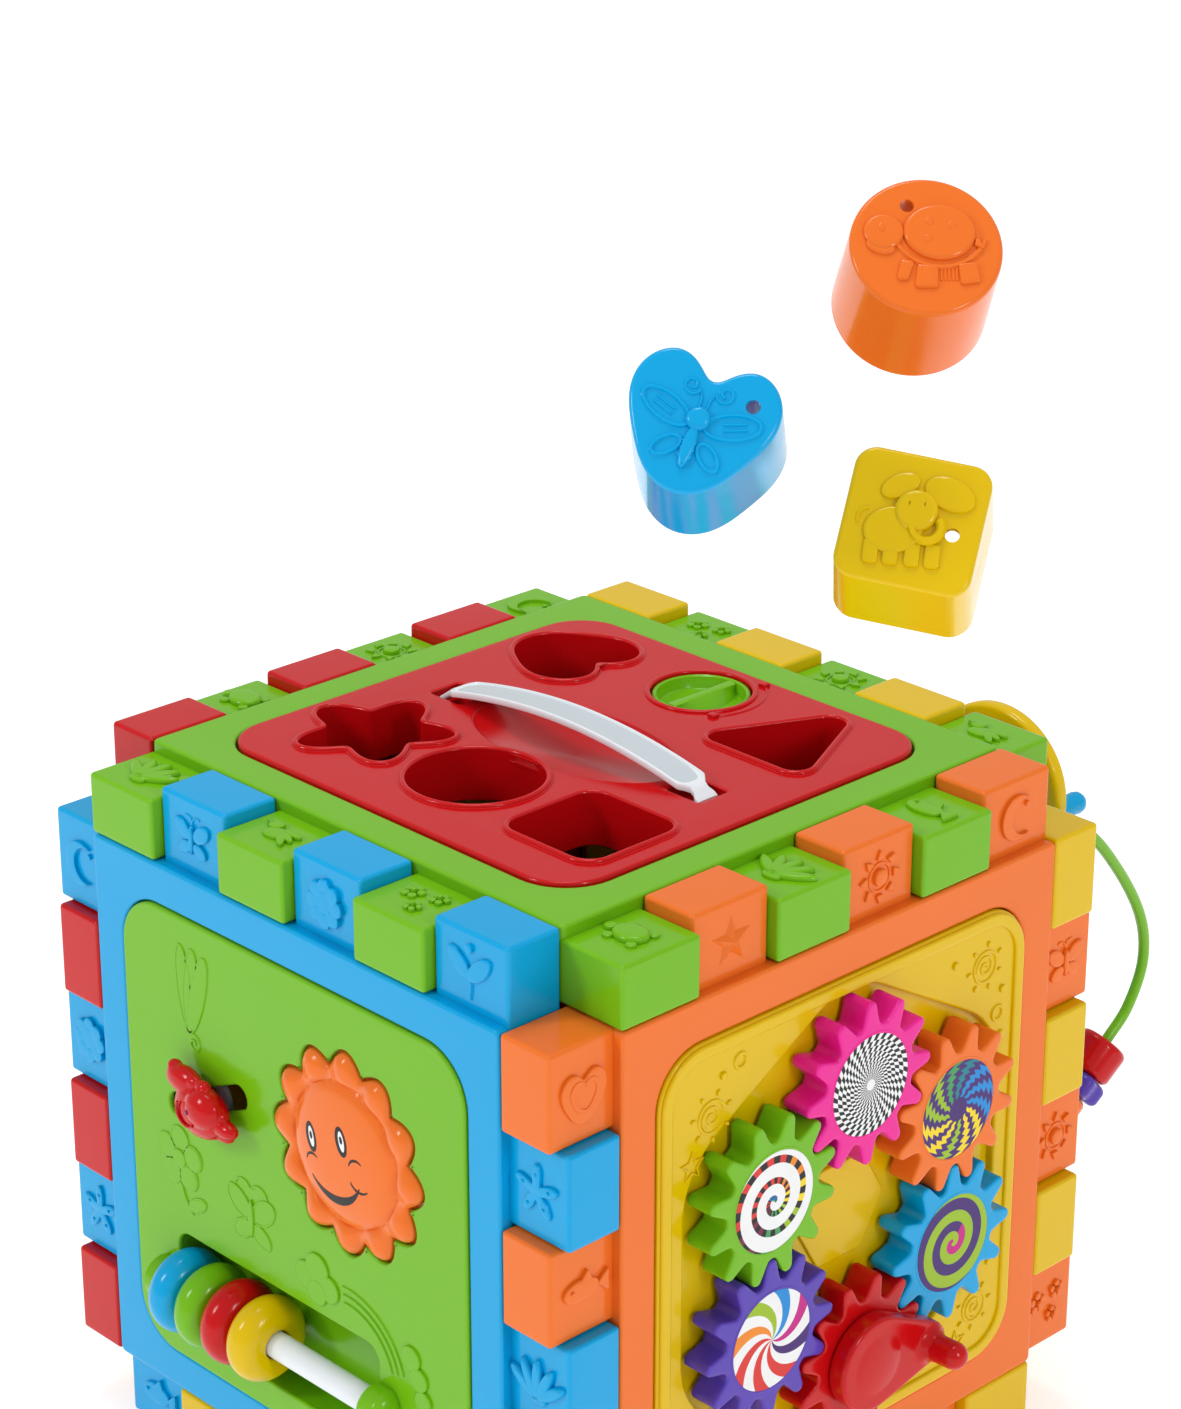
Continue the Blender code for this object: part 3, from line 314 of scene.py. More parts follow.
def rectangle(low, high):
    return [(low[0], low[1]), (high[0], low[1]), (high[0], high[1]), (low[0], high[1])]


def rounded_square(half, radius, steps=10):
    return rounded(rectangle((-half, -half), (half, half)), radius, steps)


def polar(radius_at, steps):
    return [at_angle(radius_at(angle), angle) for angle in turns(steps)]


def moved(points, offset, turn=0.0):
    return [
        (offset[0] + x * cos(turn) - y * sin(turn), offset[1] + x * sin(turn) + y * cos(turn))
        for x, y in points
    ]


def pushed(points, distance):
    """An outline pushed out by a distance, square to itself."""
    made = []
    count = len(points)
    for i, point in enumerate(points):
        along = (Vector(points[(i + 1) % count]) - Vector(points[i - 1])).normalized()
        made.append((point[0] + along.y * distance, point[1] - along.x * distance))
    return made


def arc(radius, first, last, centre=(0, 0), steps=16):
    """An open arc, its angles in degrees."""
    angles = [radians(first + (last - first) * i / steps) for i in range(steps + 1)]
    return [at_angle(radius, angle, centre) for angle in angles]


def spiral(inner, outer, revolutions, centre=(0, 0), first=0.0, steps=40):
    shares = [i / steps for i in range(steps + 1)]
    return [
        at_angle(inner + (outer - inner) * share, first + 2 * pi * revolutions * share, centre)
        for share in shares
    ]


def hull_of_circles(radius, ring, count, steps=12):
    """The rounded polygon that wraps equal circles set on a ring, the first at the top."""
    points = []
    for i in range(count):
        angle = pi / 2 + 2 * pi * i / count
        for k in range(steps + 1):
            turn = angle - pi / count + 2 * pi / count * k / steps
            points.append(at_angle(radius, turn, at_angle(ring, angle)))
    return points


def star_outline(push=0.0):
    return pushed(polar(lambda a: 0.02625 + 0.00625 * cos(5 * (a - pi)), 120), push)


def heart_outline(push=0.0):
    """A plump heart, its notch towards +X and its rounded tip towards -X."""

    def radius_at(angle):
        turn = angle if angle < pi else angle - 2 * pi
        return 0.0258 + 0.0022 * cos(3 * (turn - pi)) - 0.0095 * exp(-((turn / 0.38) ** 2))

    return pushed(polar(radius_at, 120), push)


def triangle_outline(push=0.0):
    return pushed(rounded([(-0.030, -0.023), (0.030, -0.023), (0.0, 0.040)], 0.007), push)


def square_outline(push=0.0):
    return rounded_square(SQUARE_HOLE + push, 0.009 + push)


def circle_outline(push=0.0):
    return circle(CIRCLE_HOLE + push, 80)


def sun_radius(angle):
    """The sun's edge: twelve round lobes with narrow notches between them."""
    lobe = abs(cos(SUN_RAYS / 2 * (angle - pi / 2)))
    return SUN_RADIUS + SUN_WAVE * (2 * lobe**1.2 - 1)


HOLES = {
    "star": (star_outline, (-0.0615, -0.052)),
    "circle": (circle_outline, (0.001, -0.054)),
    "square": (square_outline, (0.066, -0.054)),
    "heart": (heart_outline, (-0.066, 0.062)),
    "triangle": (triangle_outline, (0.060, 0.0605)),
}


# ---------------------------------------------------------------- shapes
def finished(shape, smooth=True):
    """A mesh from a bmesh: welded, facing out, smooth but for its sharp edges."""
    bmesh.ops.remove_doubles(shape, verts=shape.verts, dist=WELD)
    bmesh.ops.recalc_face_normals(shape, faces=shape.faces)
    mesh = bpy.data.meshes.new("shape")
    shape.to_mesh(mesh)
    shape.free()
    if smooth:
        mesh.shade_smooth()
        mesh.set_sharp_from_angle(angle=SHARP)
    return mesh


def mesh_from(data, modifiers=()):
    """The mesh that a curve or a mesh gives once its modifiers are applied."""
    carrier = bpy.data.objects.new("carrier", data)
    bpy.context.scene.collection.objects.link(carrier)
    for kind, settings in modifiers:
        change = carrier.modifiers.new(kind, kind)
        for key, value in settings.items():
            setattr(change, key, value)
    bpy.context.view_layer.update()
    evaluated = carrier.evaluated_get(bpy.context.evaluated_depsgraph_get())
    raw = bpy.data.meshes.new_from_object(evaluated)
    bpy.data.objects.remove(carrier)
    shape = bmesh.new()
    shape.from_mesh(raw)
    return finished(shape)


def slab(outlines, low, high, edge=0.0, steps=2):
    """A flat shape between two heights, its edges rounded; outlines after the first are holes."""
    curve = bpy.data.curves.new("outline", "CURVE")
    curve.dimensions = "2D"
    curve.fill_mode = "BOTH"
    curve.extrude = (high - low) / 2 - edge
    curve.bevel_depth = edge
    curve.bevel_resolution = steps
    curve.offset = -edge
    for points in outlines:
        spline = curve.splines.new("POLY")
        spline.points.add(len(points) - 1)
        for point, (x, y) in zip(spline.points, points):
            point.co = (x, y, 0, 1)
        spline.use_cyclic_u = True
    mesh = mesh_from(curve)
    mesh.transform(Matrix.Translation((0, 0, (low + high) / 2)))
    return mesh


def tube(points, radius, closed=False, sides=2):
    """A round bar along points; flat points lie in the panel's plane."""
    curve = bpy.data.curves.new("line", "CURVE")
    curve.dimensions = "3D"
    curve.bevel_depth = radius
    curve.bevel_resolution = sides
    curve.use_fill_caps = True
    spline = curve.splines.new("POLY")
    spline.points.add(len(points) - 1)
    for point, place in zip(spline.points, points):
        point.co = (*Vector(place).to_3d(), 1)
    spline.use_cyclic_u = closed
    return mesh_from(curve)


def turned(profile, steps=64):
    """A shape turned about Z from (radius, height) points: a ring, or solid from axis to axis."""
    shape = bmesh.new()
    points = [shape.verts.new((r, 0, z)) for r, z in profile]
    on_axis = profile[0][0] == 0
    for a, b in zip(points, points[1:] if on_axis else points[1:] + points[:1]):
        shape.edges.new((a, b))
    mesh = bpy.data.meshes.new("turned")
    shape.to_mesh(mesh)
    shape.free()
    screw = {"steps": steps, "render_steps": steps, "use_merge_vertices": True, "merge_threshold": 0.00001}
    return mesh_from(mesh, [("SCREW", screw)])


def ball(radius, centre, stretch=(1, 1, 1), segments=24):
    shape = bmesh.new()
    bmesh.ops.create_uvsphere(shape, u_segments=segments, v_segments=segments // 2, radius=radius)
    bmesh.ops.transform(
        shape, matrix=Matrix.Translation(centre) @ Matrix.Diagonal((*stretch, 1)), verts=shape.verts
    )
    return finished(shape)


def soft_box(low, high, edge, steps=3):
    """A box with every edge rounded."""
    shape = bmesh.new()
    size = [b - a for a, b in zip(low, high)]
    middle = [(a + b) / 2 for a, b in zip(low, high)]
    bmesh.ops.create_cube(shape, size=1, matrix=Matrix.Translation(middle) @ Matrix.Diagonal((*size, 1)))
    bmesh.ops.bevel(
        shape, geom=shape.edges[:], offset=edge, segments=steps, profile=0.5, affect="EDGES"
    )
    return finished(shape)


def loft(loops, ring=False):
    """A skin over loops of equal count; ring joins the last to the first, else the ends are capped."""
    shape = bmesh.new()
    rows = [[shape.verts.new(Vector(p).to_3d()) for p in loop] for loop in loops]
    count = len(rows[0])
    pairs = list(zip(rows, rows[1:]))
    if ring:
        pairs.append((rows[-1], rows[0]))
    else:
        shape.faces.new(rows[0])
        shape.faces.new(rows[-1])
    for a, b in pairs:
        for i in range(count):
            j = (i + 1) % count
            shape.faces.new((a[i], a[j], b[j], b[i]))
    return finished(shape)


def fan(outline, low, high):
    """A faceted shape that rises from its outline to one point."""
    shape = bmesh.new()
    rim = [shape.verts.new((x, y, low)) for x, y in outline]
    apex = shape.verts.new((0, 0, high))
    for i, vert in enumerate(rim):
        shape.faces.new((vert, rim[(i + 1) % len(rim)], apex))
    shape.faces.new(rim)
    return finished(shape, smooth=False)


def merged(meshes):
    """Meshes as one mesh."""
    shape = bmesh.new()
    for mesh in meshes:
        shape.from_mesh(mesh)
    made = bpy.data.meshes.new("merged")
    shape.to_mesh(made)
    shape.free()
    return made


def melted(meshes, voxel, passes, keep=0.4):
    """Closed shapes that flow into each other, with soft inner and outer edges."""
    modifiers = [
        ("REMESH", {"mode": "VOXEL", "voxel_size": voxel}),
        ("SMOOTH", {"factor": 0.5, "iterations": passes}),
        ("DECIMATE", {"ratio": keep}),
    ]
    return mesh_from(merged(meshes), modifiers)


def combined(body, others, operation):
    """A mesh with others joined to it or cut from it."""
    cutters = []
    modifiers = []
    for other_mesh in others:
        cutter = bpy.data.objects.new("cutter", other_mesh)
        bpy.context.scene.collection.objects.link(cutter)
        cutters.append(cutter)
        modifiers.append(("BOOLEAN", {"operation": operation, "solver": "EXACT", "object": cutter}))
    made = mesh_from(body, modifiers)
    for cutter in cutters:
        bpy.data.objects.remove(cutter)
    return made


def piece(name, body, shapes, side=None, place=None, replaces=None, crisp=True):
    """Join (material, mesh, matrix) shapes into one piece, set it in place and let it ride."""
    bag = bmesh.new()
    materials = []
    for material, mesh, *where in shapes:
        copy = mesh.copy()
        if where:
            copy.transform(where[0])
        if material not in materials:
            materials.append(material)
        copy.polygons.foreach_set("material_index", [materials.index(material)] * len(copy.polygons))
        bag.from_mesh(copy)
        bpy.data.meshes.remove(copy)
    mesh = bpy.data.meshes.new(name)
    bag.to_mesh(mesh)
    bag.free()
    for material in materials:
        mesh.materials.append(material)
    made = bpy.data.objects.new(name, mesh)
    bpy.context.scene.collection.objects.link(made)
    made.matrix_world = (side_matrix(side) if side else Matrix()) @ (place or Matrix())
    if crisp:
        even = made.modifiers.new("even", "WEIGHTED_NORMAL")
        even.keep_sharp = True
    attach(made, body)
    if replaces:
        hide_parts(*replaces)
    return made


def stands_for(node, body, shapes, side=None, place=None, crisp=True):
    """A piece that takes the place of one CAD node, named after it."""
    return piece(node + "_moulding", body, shapes, side, place, [node], crisp)


def painted(material, meshes, *where):
    """Shapes of one material, as piece() takes them, all with the same move if one is given."""
    return [(material, mesh, *where) for mesh in meshes]


def lay_print(name, body, printed, where):
    """A printed disc, set in place on the body it rides on."""
    mesh, inks = printed
    for one in inks:
        mesh.materials.append(one)
    made = bpy.data.objects.new(name, mesh)
    bpy.context.scene.collection.objects.link(made)
    made.matrix_world = where
    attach(made, body)


# ---------------------------------------------------------------- relief motifs
def raised(outline, height=RELIEF, edge=0.0005, steps=1):
    return slab([outline], -MOTIF_SINK, height, edge, steps)


def line(points, radius=0.0006, closed=False):
    return tube(points, radius, closed, 1)


def star_points(outer, inner, count=5, first=pi / 2):
    return [at_angle(inner if i % 2 else outer, first + pi * i / count) for i in range(2 * count)]


@lru_cache(None)
def motif(name):
    """One raised picture about 22 mm across, its back on the panel's face."""
    made = motif_shapes(name)
    for k, mesh in enumerate(made):
        mesh.transform(Matrix.Diagonal((1, 1, 1.25 + 0.03 * k, 1)))
    return made


def motif_shapes(name):
    """The parts of a raised picture, their backs sunk a little into the panel's face."""
    if name == "star":
        return [fan(star_points(0.0125, 0.0052), -0.0004, 0.0022)]
    if name == "starfish":
        shape = polar(lambda a: 0.0075 + 0.0040 * cos(5 * (a - pi / 2)), 60)
        tips = star_points(0.0070, 0.0030)[::2]
        return [raised(shape, 0.0012, 0.0008), *[raised(circle(0.0007, 10, p), 0.0016, 0.0003) for p in tips]]
    if name == "sun":
        ray = rounded([(-0.0022, 0.0072), (0.0022, 0.0072), (0.0, 0.0118)], 0.0005, 2)
        rays = [raised(moved(ray, (0, 0), angle), 0.0009, 0.0004) for angle in turns(8)]
        return [line(circle(0.0058, 24), 0.0006, True), raised(circle(0.0036, 20), 0.0016, 0.0009), *rays]
    if name == "moon":
        crescent = arc(0.0095, 60, 300, steps=24) + arc(0.0078, 288, 72, (0.0042, 0), steps=18)
        return [raised(crescent, 0.0013, 0.0004), raised(circle(0.0012, 12, (0.0058, 0.0045)), 0.001, 0.0004)]
    if name == "heart":
        outline, inner = (
            moved([(x * size, y * size) for x, y in heart_outline()], (0, 0), pi / 2)
            for size in (0.42, 0.24)
        )
        return [raised(outline, 0.0012, 0.0007), line(inner, 0.0017, True)]
    if name == "flower":
        places = [at_angle(0.0068, radians(90 + 45 * i)) for i in range(8)]
        petals = [raised(circle(0.0034, 18, place)) for place in places]
        return [*petals, raised(circle(0.0056, 24), 0.0012), line(circle(0.0036, 20), 0.0012, True)]
    if name == "flowers":
        made = []
        for x, y, size in ((-0.0062, 0.0025, 1.0), (0.0058, 0.0048, 0.85), (0.0032, -0.0062, 0.75)):
            for i in range(5):
                at = at_angle(0.0033 * size, radians(90 + 72 * i), (x, y))
                made.append(raised(circle(0.0019 * size, 12, at), 0.0010, 0.0006))
            made.append(raised(circle(0.0013 * size, 12, (x, y)), 0.0017, 0.0006))
        return made
    if name == "butterfly":
        made = [raised(ellipse(0.0014, 0.0062), 0.0016, 0.0008)]
        for sign, first in ((-1, 0), (1, 180)):
            upper = ellipse(0.0055, 0.0034, (sign * 0.0058, 0.0034), sign * 0.6)
            lower = ellipse(0.0042, 0.0028, (sign * 0.0046, -0.0040), -sign * 0.5)
            feeler = arc(0.0030, first, first - sign * 120, (sign * 0.0030, 0.0065), 8)
            made += [raised(upper, 0.0010, 0.0006), raised(lower, 0.0010, 0.0006), line(feeler, 0.0005)]
        return made
    if name == "shell":
        fans = []
        for a in (35, 62, 90, 118, 145):
            rib = ellipse(0.0085, 0.0026, at_angle(0.0085, radians(a), (0, -0.0070)), radians(a), 24)
            fans.append(raised(rib, 0.0014, 0.0013, 3))
        return [raised(ellipse(0.0045, 0.0024, (0, -0.0072)), 0.0012, 0.0008), *fans]
    if name == "fish":
        tail = rounded([(0.0062, 0.0), (0.0120, -0.0052), (0.0120, 0.0052)], 0.0006, 3)
        fin = rounded([(-0.003, 0.003), (0.004, 0.003), (0.0015, 0.0082)], 0.0006, 3)
        eye = raised(circle(0.0008, 10, (-0.0065, 0.001)), 0.0019, 0.0003)
        return [raised(ellipse(0.0088, 0.0048, (-0.0015, 0)), 0.0013, 0.0008), raised(tail), raised(fin), eye]
    if name == "bird":
        feathers = [ellipse(0.0052, 0.0017, (0.0045, 0.002 - 0.0030 * k), -0.35 * k) for k in range(3)]
        body = raised(ellipse(0.0066, 0.0042, (-0.001, -0.001), 0.2), 0.0011, 0.0007)
        head = raised(circle(0.0034, 18, (-0.0065, 0.0035)), 0.0014, 0.0007)
        beak = raised(rounded([(-0.0125, 0.0030), (-0.0085, 0.0016), (-0.0085, 0.0048)], 0.0003, 2))
        return [body, head, beak, *[raised(feather, 0.0012, 0.0006) for feather in feathers]]
    if name == "leaf":
        sides = [ellipse(0.0078, 0.0036, (sign * 0.0052, 0.0026), sign * 0.75) for sign in (-1, 1)]
        stalk = line([(0, -0.0105), (0.0006, -0.004), (0, 0.002)], 0.0009)
        bud = raised(circle(0.0018, 14, (0, 0.0098)), 0.0012)
        return [*[raised(side, 0.0011, 0.0007) for side in sides], stalk, bud]
    if name == "turtle":
        feet = ((-0.006, 0.0058), (0.006, 0.0058), (-0.006, -0.0058), (0.006, -0.0058))
        legs = [raised(circle(0.0022, 14, p), 0.0010, 0.0006) for p in feet]
        marks = ((-0.0028, 0), (0.0028, 0.0022), (0.0024, -0.0026))
        rings = [line(circle(0.0016, 12, p), 0.0006, True) for p in marks]
        head = raised(circle(0.0028, 16, (-0.0102, 0.0)), 0.0013, 0.0008)
        return [raised(ellipse(0.0078, 0.0062), 0.0018, 0.0015, 3), head, *legs, *rings]
    raise KeyError(name)


# motifs round each panel: along its lower edge, then up its right, back along its top, down its left
PANEL_MOTIFS = {
    "top": "shell bird flowers turtle shell fish bird sun flowers moon sun turtle",
    "front": "fish heart sun bird shell starfish leaf flower butterfly moon flower starfish",
    "right": "bird moon leaf flowers sun butterfly moon sun star heart fish shell",
    "rear": "star fish flower leaf sun shell butterfly moon bird flowers turtle heart",
    "left": "turtle flowers star shell butterfly sun bird fish leaf moon flower starfish",
    "bottom": "sun star moon leaf fish flower bird shell heart turtle flowers butterfly",
}
PANEL_COLOURS = {
    "top": "green",
    "front": "blue",
    "right": "orange",
    "rear": "yellow",
    "left": "red",
    "bottom": "yellow",
}


# ---------------------------------------------------------------- panel frames
def frame_moulding():
    """The frame every panel shares: rim, window, ledge and twelve teeth, all edges rounded."""
    side = CORE - GAP / 2
    floor = CORE + GAP / 2
    window = rounded_square(WINDOW, WINDOW_RADIUS)
    rim = slab([rounded_square(side, 0.003, 4), window], floor, HALF, SOFT_EDGE)
    teeth = []
    for edge in range(4):
        for cell in (0, 2, 4):
            left = -CORE + cell * CELL + GAP / 2
            high = (left + CELL - GAP, -side + 0.005, HALF - TOOTH_STEP)
            tooth = soft_box((left, -HALF, floor), high, 0.0017)
            tooth.transform(Matrix.Rotation(edge * pi / 2, 4, "Z"))
            teeth.append(tooth)
    body = combined(rim, teeth, "UNION")
    seat = rounded_square(WINDOW - LEDGE, WINDOW_RADIUS - LEDGE)
    wide = rounded_square(WINDOW + 0.001, WINDOW_RADIUS)
    ledge_top = HALF - LEDGE_DEPTH
    return merged([body, slab([wide, seat], ledge_top - 0.0025, ledge_top, 0.0005)])


def build_frames():
    moulding = frame_moulding()
    for side, colour in PANEL_COLOURS.items():
        shapes = [(plastic(colour), moulding)]
        names = PANEL_MOTIFS[side].split()
        for edge in range(4):
            for k in range(3):
                along = -CORE + (2 * k + 0.5) * CELL
                out = -(CORE + HALF - 0.0015) / 2
                spot = Matrix.Rotation(edge * pi / 2, 4, "Z") @ shift(along, out, HALF - TOOTH_STEP)
                upright = spot @ Matrix.Rotation(-edge * pi / 2, 4, "Z")
                shapes += painted(plastic(colour), motif(names[3 * edge + k]), upright)
        stands_for(side + "_frame", "cube", shapes, side)


# ---------------------------------------------------------------- lid, handle and lock
def tray(top, holes=(), half=PLATE, edge=0.0012):
    """A rounded square plate with a skirt."""
    radius = WINDOW_RADIUS - (WINDOW - half)
    outer = rounded_square(half, radius)
    inner = rounded_square(half - PLATE_WALL, radius - PLATE_WALL)
    face = slab([outer, *holes], top - PLATE_SKIN, top, edge)
    skirt = slab([outer, inner], SEAT, top - PLATE_SKIN + 0.0009, 0.0002)
    return merged([face, skirt])


def well(outline, floor_at, top):
    """A pocket under an opening: its wall and its floor."""
    outer = pushed(outline, PLATE_WALL)
    sides = slab([outer, outline], floor_at - 0.001, top, 0.0004)
    floor = slab([outer], floor_at - PLATE_WALL, floor_at, 0.0003)
    return merged([sides, floor])


def bowl(outline, top, depth):
    """A smooth dish that falls from an outline to a rounded bottom."""
    loops = []
    steps = 16
    for k in range(steps + 1):
        scale = max(cos(pi / 2 * k / steps), 0.0004)
        drop = depth * (1 - cos(pi / 2 * k / steps) ** 1.3)
        loops.append([(x * scale, y * scale, top - drop) for x, y in outline])
    under = [[(x * 1.02, y * 1.02, z - 0.0016) for x, y, z in loop] for loop in reversed(loops)]
    return loft(loops + under, ring=True)


def dish_outline():
    return ellipse(*DISH, steps=96)


def build_lid():
    slot = rounded(rectangle((HANDLE_REACH - 0.015, -0.008), (HANDLE_REACH + 0.003, 0.008)), 0.0012, 3)
    slots = [slot, moved(slot, (0, 0), pi)]
    knob_hole = circle(KNOB_RADIUS + 0.0014, 72, KNOB_PLACE)
    holes = [moved(outline(RIM_WIDTH / 2), place) for outline, place in HOLES.values()]
    parts = [tray(LID_TOP, [*holes, *slots, knob_hole, dish_outline()], WINDOW - 0.0005 - GAP)]
    for outline, place in HOLES.values():
        rim = [moved(outline(push), place) for push in (RIM_WIDTH, 0.0)]
        parts.append(slab(rim, LID_TOP - TUBE_DEPTH, LID_TOP + RIM_HEIGHT, 0.00118, 3))
        base = [moved(outline(push), place) for push in (RIM_WIDTH + 0.0006, 0.0008)]
        parts.append(slab(base, LID_TOP - 0.0008, LID_TOP + 0.0004, 0.0004, 1))
    parts += [well(opening, LID_TOP - 0.0055, LID_TOP - 0.0002) for opening in slots]
    pocket = LID_TOP - KNOB_DEPTH - 0.001
    wall = [circle(KNOB_RADIUS + more, 72, KNOB_PLACE) for more in (0.0030, 0.0006)]
    floor = [circle(KNOB_RADIUS + 0.002, 48, KNOB_PLACE), circle(0.0063, 32, KNOB_PLACE)]
    parts.append(slab(wall, pocket - 0.001, LID_TOP + 0.0010, 0.0008))
    parts.append(slab(floor, pocket - 0.002, pocket))
    parts.append(bowl(dish_outline(), LID_TOP - 0.0006, DISH_DEPTH))
    guide = arc(KNOB_RADIUS + 0.0065, *KNOB_GUIDE, KNOB_PLACE, 24)
    parts.append(line([(x, y, LID_TOP) for x, y in guide], 0.0006))
    red = plastic("red")
    shapes = painted(red, parts)
    for angle in KNOB_GUIDE:
        spot = at_angle(KNOB_RADIUS + 0.0065, radians(angle), KNOB_PLACE)
        shapes.append((red, raised(rounded_square(0.0019, 0.0006, 3)), shift(*spot, LID_TOP)))
    stands_for("sorter_lid", "lid", shapes, "top")
    build_handle()
    build_knob()


def blend_step(value, low, high):
    """0 below low, 1 above high, and smooth between."""
    share = min(max((value - low) / (high - low), 0.0), 1.0)
    return share * share * (3 - 2 * share)


def handle_level(x):
    share = min(abs(x) / HANDLE_REACH, 1.0)
    dip = 0.0028 * blend_step(abs(x), 0.068, 0.075)
    return LID_TOP + 0.0012 + HANDLE_RISE * cos(share * pi / 2) ** 0.8 - dip


def handle_half_width(x):
    neck = 0.0042 + 0.0014 * blend_step(abs(x), 0.0710, 0.0735)
    return neck + (0.0078 - neck) * blend_step(-abs(x), -0.0700, -0.0650)


def build_handle():
    """A bowed strap with a raised border and a pale inset, tucked into a slot at each end."""
    loops = []
    steps = 80
    thick = 0.0030
    for i in range(steps + 1):
        x = HANDLE_REACH * (-1 + 2 * i / steps)
        half = handle_half_width(x)
        level = handle_level(x)
        recess = 0.0009 * blend_step(-abs(x), -0.0690, -0.0660)
        right = [
            (half - 0.0010, -thick),
            (half - 0.0003, -thick + 0.0003),
            (half, -thick + 0.0010),
            (half, -0.0009),
            (half - 0.0003, -0.0002),
            (half - 0.0008, 0.0),
            (half - 0.0013, -0.0001),
            (half - 0.0017, -recess),
        ]
        section = right + [(-y, z) for y, z in reversed(right)]
        loops.append([(x, y, level + z) for y, z in section])
    stands_for("carry_handle", "lid", [(plastic("white"), loft(loops))], "top")
    strip = []
    for i in range(61):
        x = 0.0672 * (-1 + 2 * i / 60)
        end = sqrt(max(1 - (abs(x) / 0.0673) ** 18, 0.0))
        half = min(0.0060, handle_half_width(x) - 0.0016) * end
        level = handle_level(x)
        low, high = level - 0.0011, level - 0.0007
        strip.append([(x, -half, low), (x, half, low), (x, half, high), (x, -half, high)])
    piece("handle_inset", "lid", [(plastic("pale_grey"), loft(strip))], "top")


def build_knob():
    """The lock: a sunk disc with two scooped halves and a grip across it."""
    top = KNOB_DEPTH
    radius = KNOB_RADIUS
    cup = turned(
        [
            (0, 0.0006),
            (radius - 0.004, 0.0006),
            (radius - 0.0028, 0.0016),
            (radius - 0.0020, top - 0.0006),
            (radius - 0.0012, top),
            (radius - 0.0004, top - 0.0003),
            (radius, top - 0.0010),
            (radius, 0),
            (0, 0),
        ],
        72,
    )
    loops = []
    for i in range(25):
        share = -1 + 2 * i / 24
        y = (radius - 0.0026) * share
        half = 0.0030 + 0.0050 * (1 - share * share)
        high = top - 0.0004
        right = [(half, 0.0004), (half * 0.55, high * 0.55), (0.0024, high * 0.93), (0.0012, high)]
        section = [(-half, 0.0004), *right, *[(-x, z) for x, z in right[:0:-1]]]
        loops.append([(x, y, z) for x, z in section])
    grip = loft(loops)
    shaft = slab([circle(0.006, 32)], -0.011, 0.001)
    shapes = painted(plastic("green"), [cup, grip, shaft])
    place = shift(*KNOB_PLACE, LID_TOP - KNOB_DEPTH)
    stands_for("lock_knob", "knob", shapes, "top", place)


# ---------------------------------------------------------------- front panel
def build_front():
    green = plastic("green")
    half_slot = (BIRD_SLOT[0] / 2, BIRD_SLOT[1] / 2)
    slot = rounded(rectangle((-half_slot[0], -half_slot[1]), half_slot), half_slot[1] - 0.0001)
    bird_slot = moved(slot, BIRD_PLACE, BIRD_TILT)
    sun_hole = moved(pushed(polar(sun_radius, 240), 0.0012), SUN_PLACE)
    trough = rounded(rectangle(TROUGH_LOW, TROUGH_HIGH), 0.007)
    shapes = painted(green, [
        tray(PLATE_TOP, [bird_slot, sun_hole, trough], edge=0.0011),
        well(trough, HALF - TROUGH_DEPTH, HALF - 0.0015),
        slab([pushed(sun_hole, 0.0015), sun_hole], SUN_BACK - 0.0005, PLATE_TOP - 0.0008, 0.0002),
    ])
    foot = [(0, 0), (BOSS_RADIUS - 0.0006, 0), (BOSS_RADIUS, 0.0006)]
    nose = [(BOSS_RADIUS * cos(radians(a)), 0.0080 + 0.0048 * sin(radians(a))) for a in (20, 40, 60, 75)]
    boss = turned([*foot, (BOSS_RADIUS, 0.0080), *nose, (0, 0.0128)], 48)
    left_boss = turned([*foot, (BOSS_RADIUS, 0.0084), (BOSS_RADIUS - 0.0006, 0.009), (0, 0.009)], 48)
    lay_right = Matrix.Rotation(pi / 2, 4, "Y")
    axis_y = (TROUGH_LOW[1] + TROUGH_HIGH[1]) / 2
    height = HALF + ROD_HEIGHT
    shapes.append((green, boss, shift(TROUGH_HIGH[0], axis_y, height) @ lay_right))
    shapes.append((green, left_boss, shift(TROUGH_LOW[0], axis_y, height) @ lay_right.inverted()))
    shapes += painted(green, front_reliefs(), shift(0, 0, PLATE_TOP))
    made = stands_for("front_plate", "cube", shapes, "front")
    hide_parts("rod_cap")

    bar = slab([circle(ROD_RADIUS, 48)], TROUGH_LOW[0] - 0.0050, TROUGH_HIGH[0] + 0.006, 0.0004)
    along = Matrix.Translation((0, axis_y, height)) @ lay_right
    stands_for("abacus_rod", "cube", [(plastic("white"), bar, along)], "front")
    profile = [(RING_BORE + 0.0008, RING_WIDTH - 0.0002)]
    crown = RING_WIDTH / 2
    for i in range(25):
        profile.append(at_angle(crown, pi / 2 - pi * i / 24, (RING_RADIUS - crown, crown)))
    profile += [(RING_BORE + 0.0008, 0.0002), (RING_BORE, 0.0010), (RING_BORE, RING_WIDTH - 0.0010)]
    ring = turned(profile, 72)
    for i, colour in enumerate(("blue", "green", "red", "yellow")):
        place = shift(TROUGH_LOW[0] + GAP + (RING_WIDTH + GAP) * i, axis_y, height)
        shapes = [(plastic(colour), ring, lay_right)]
        stands_for("abacus_ring_" + colour, "ring_" + colour, shapes, "front", place)
    build_sun()
    build_bird()


def soft(outline, height=0.0007):
    """A low cushion with a fully rounded edge."""
    return slab([outline], -0.0010, height, 0.0006, 3)


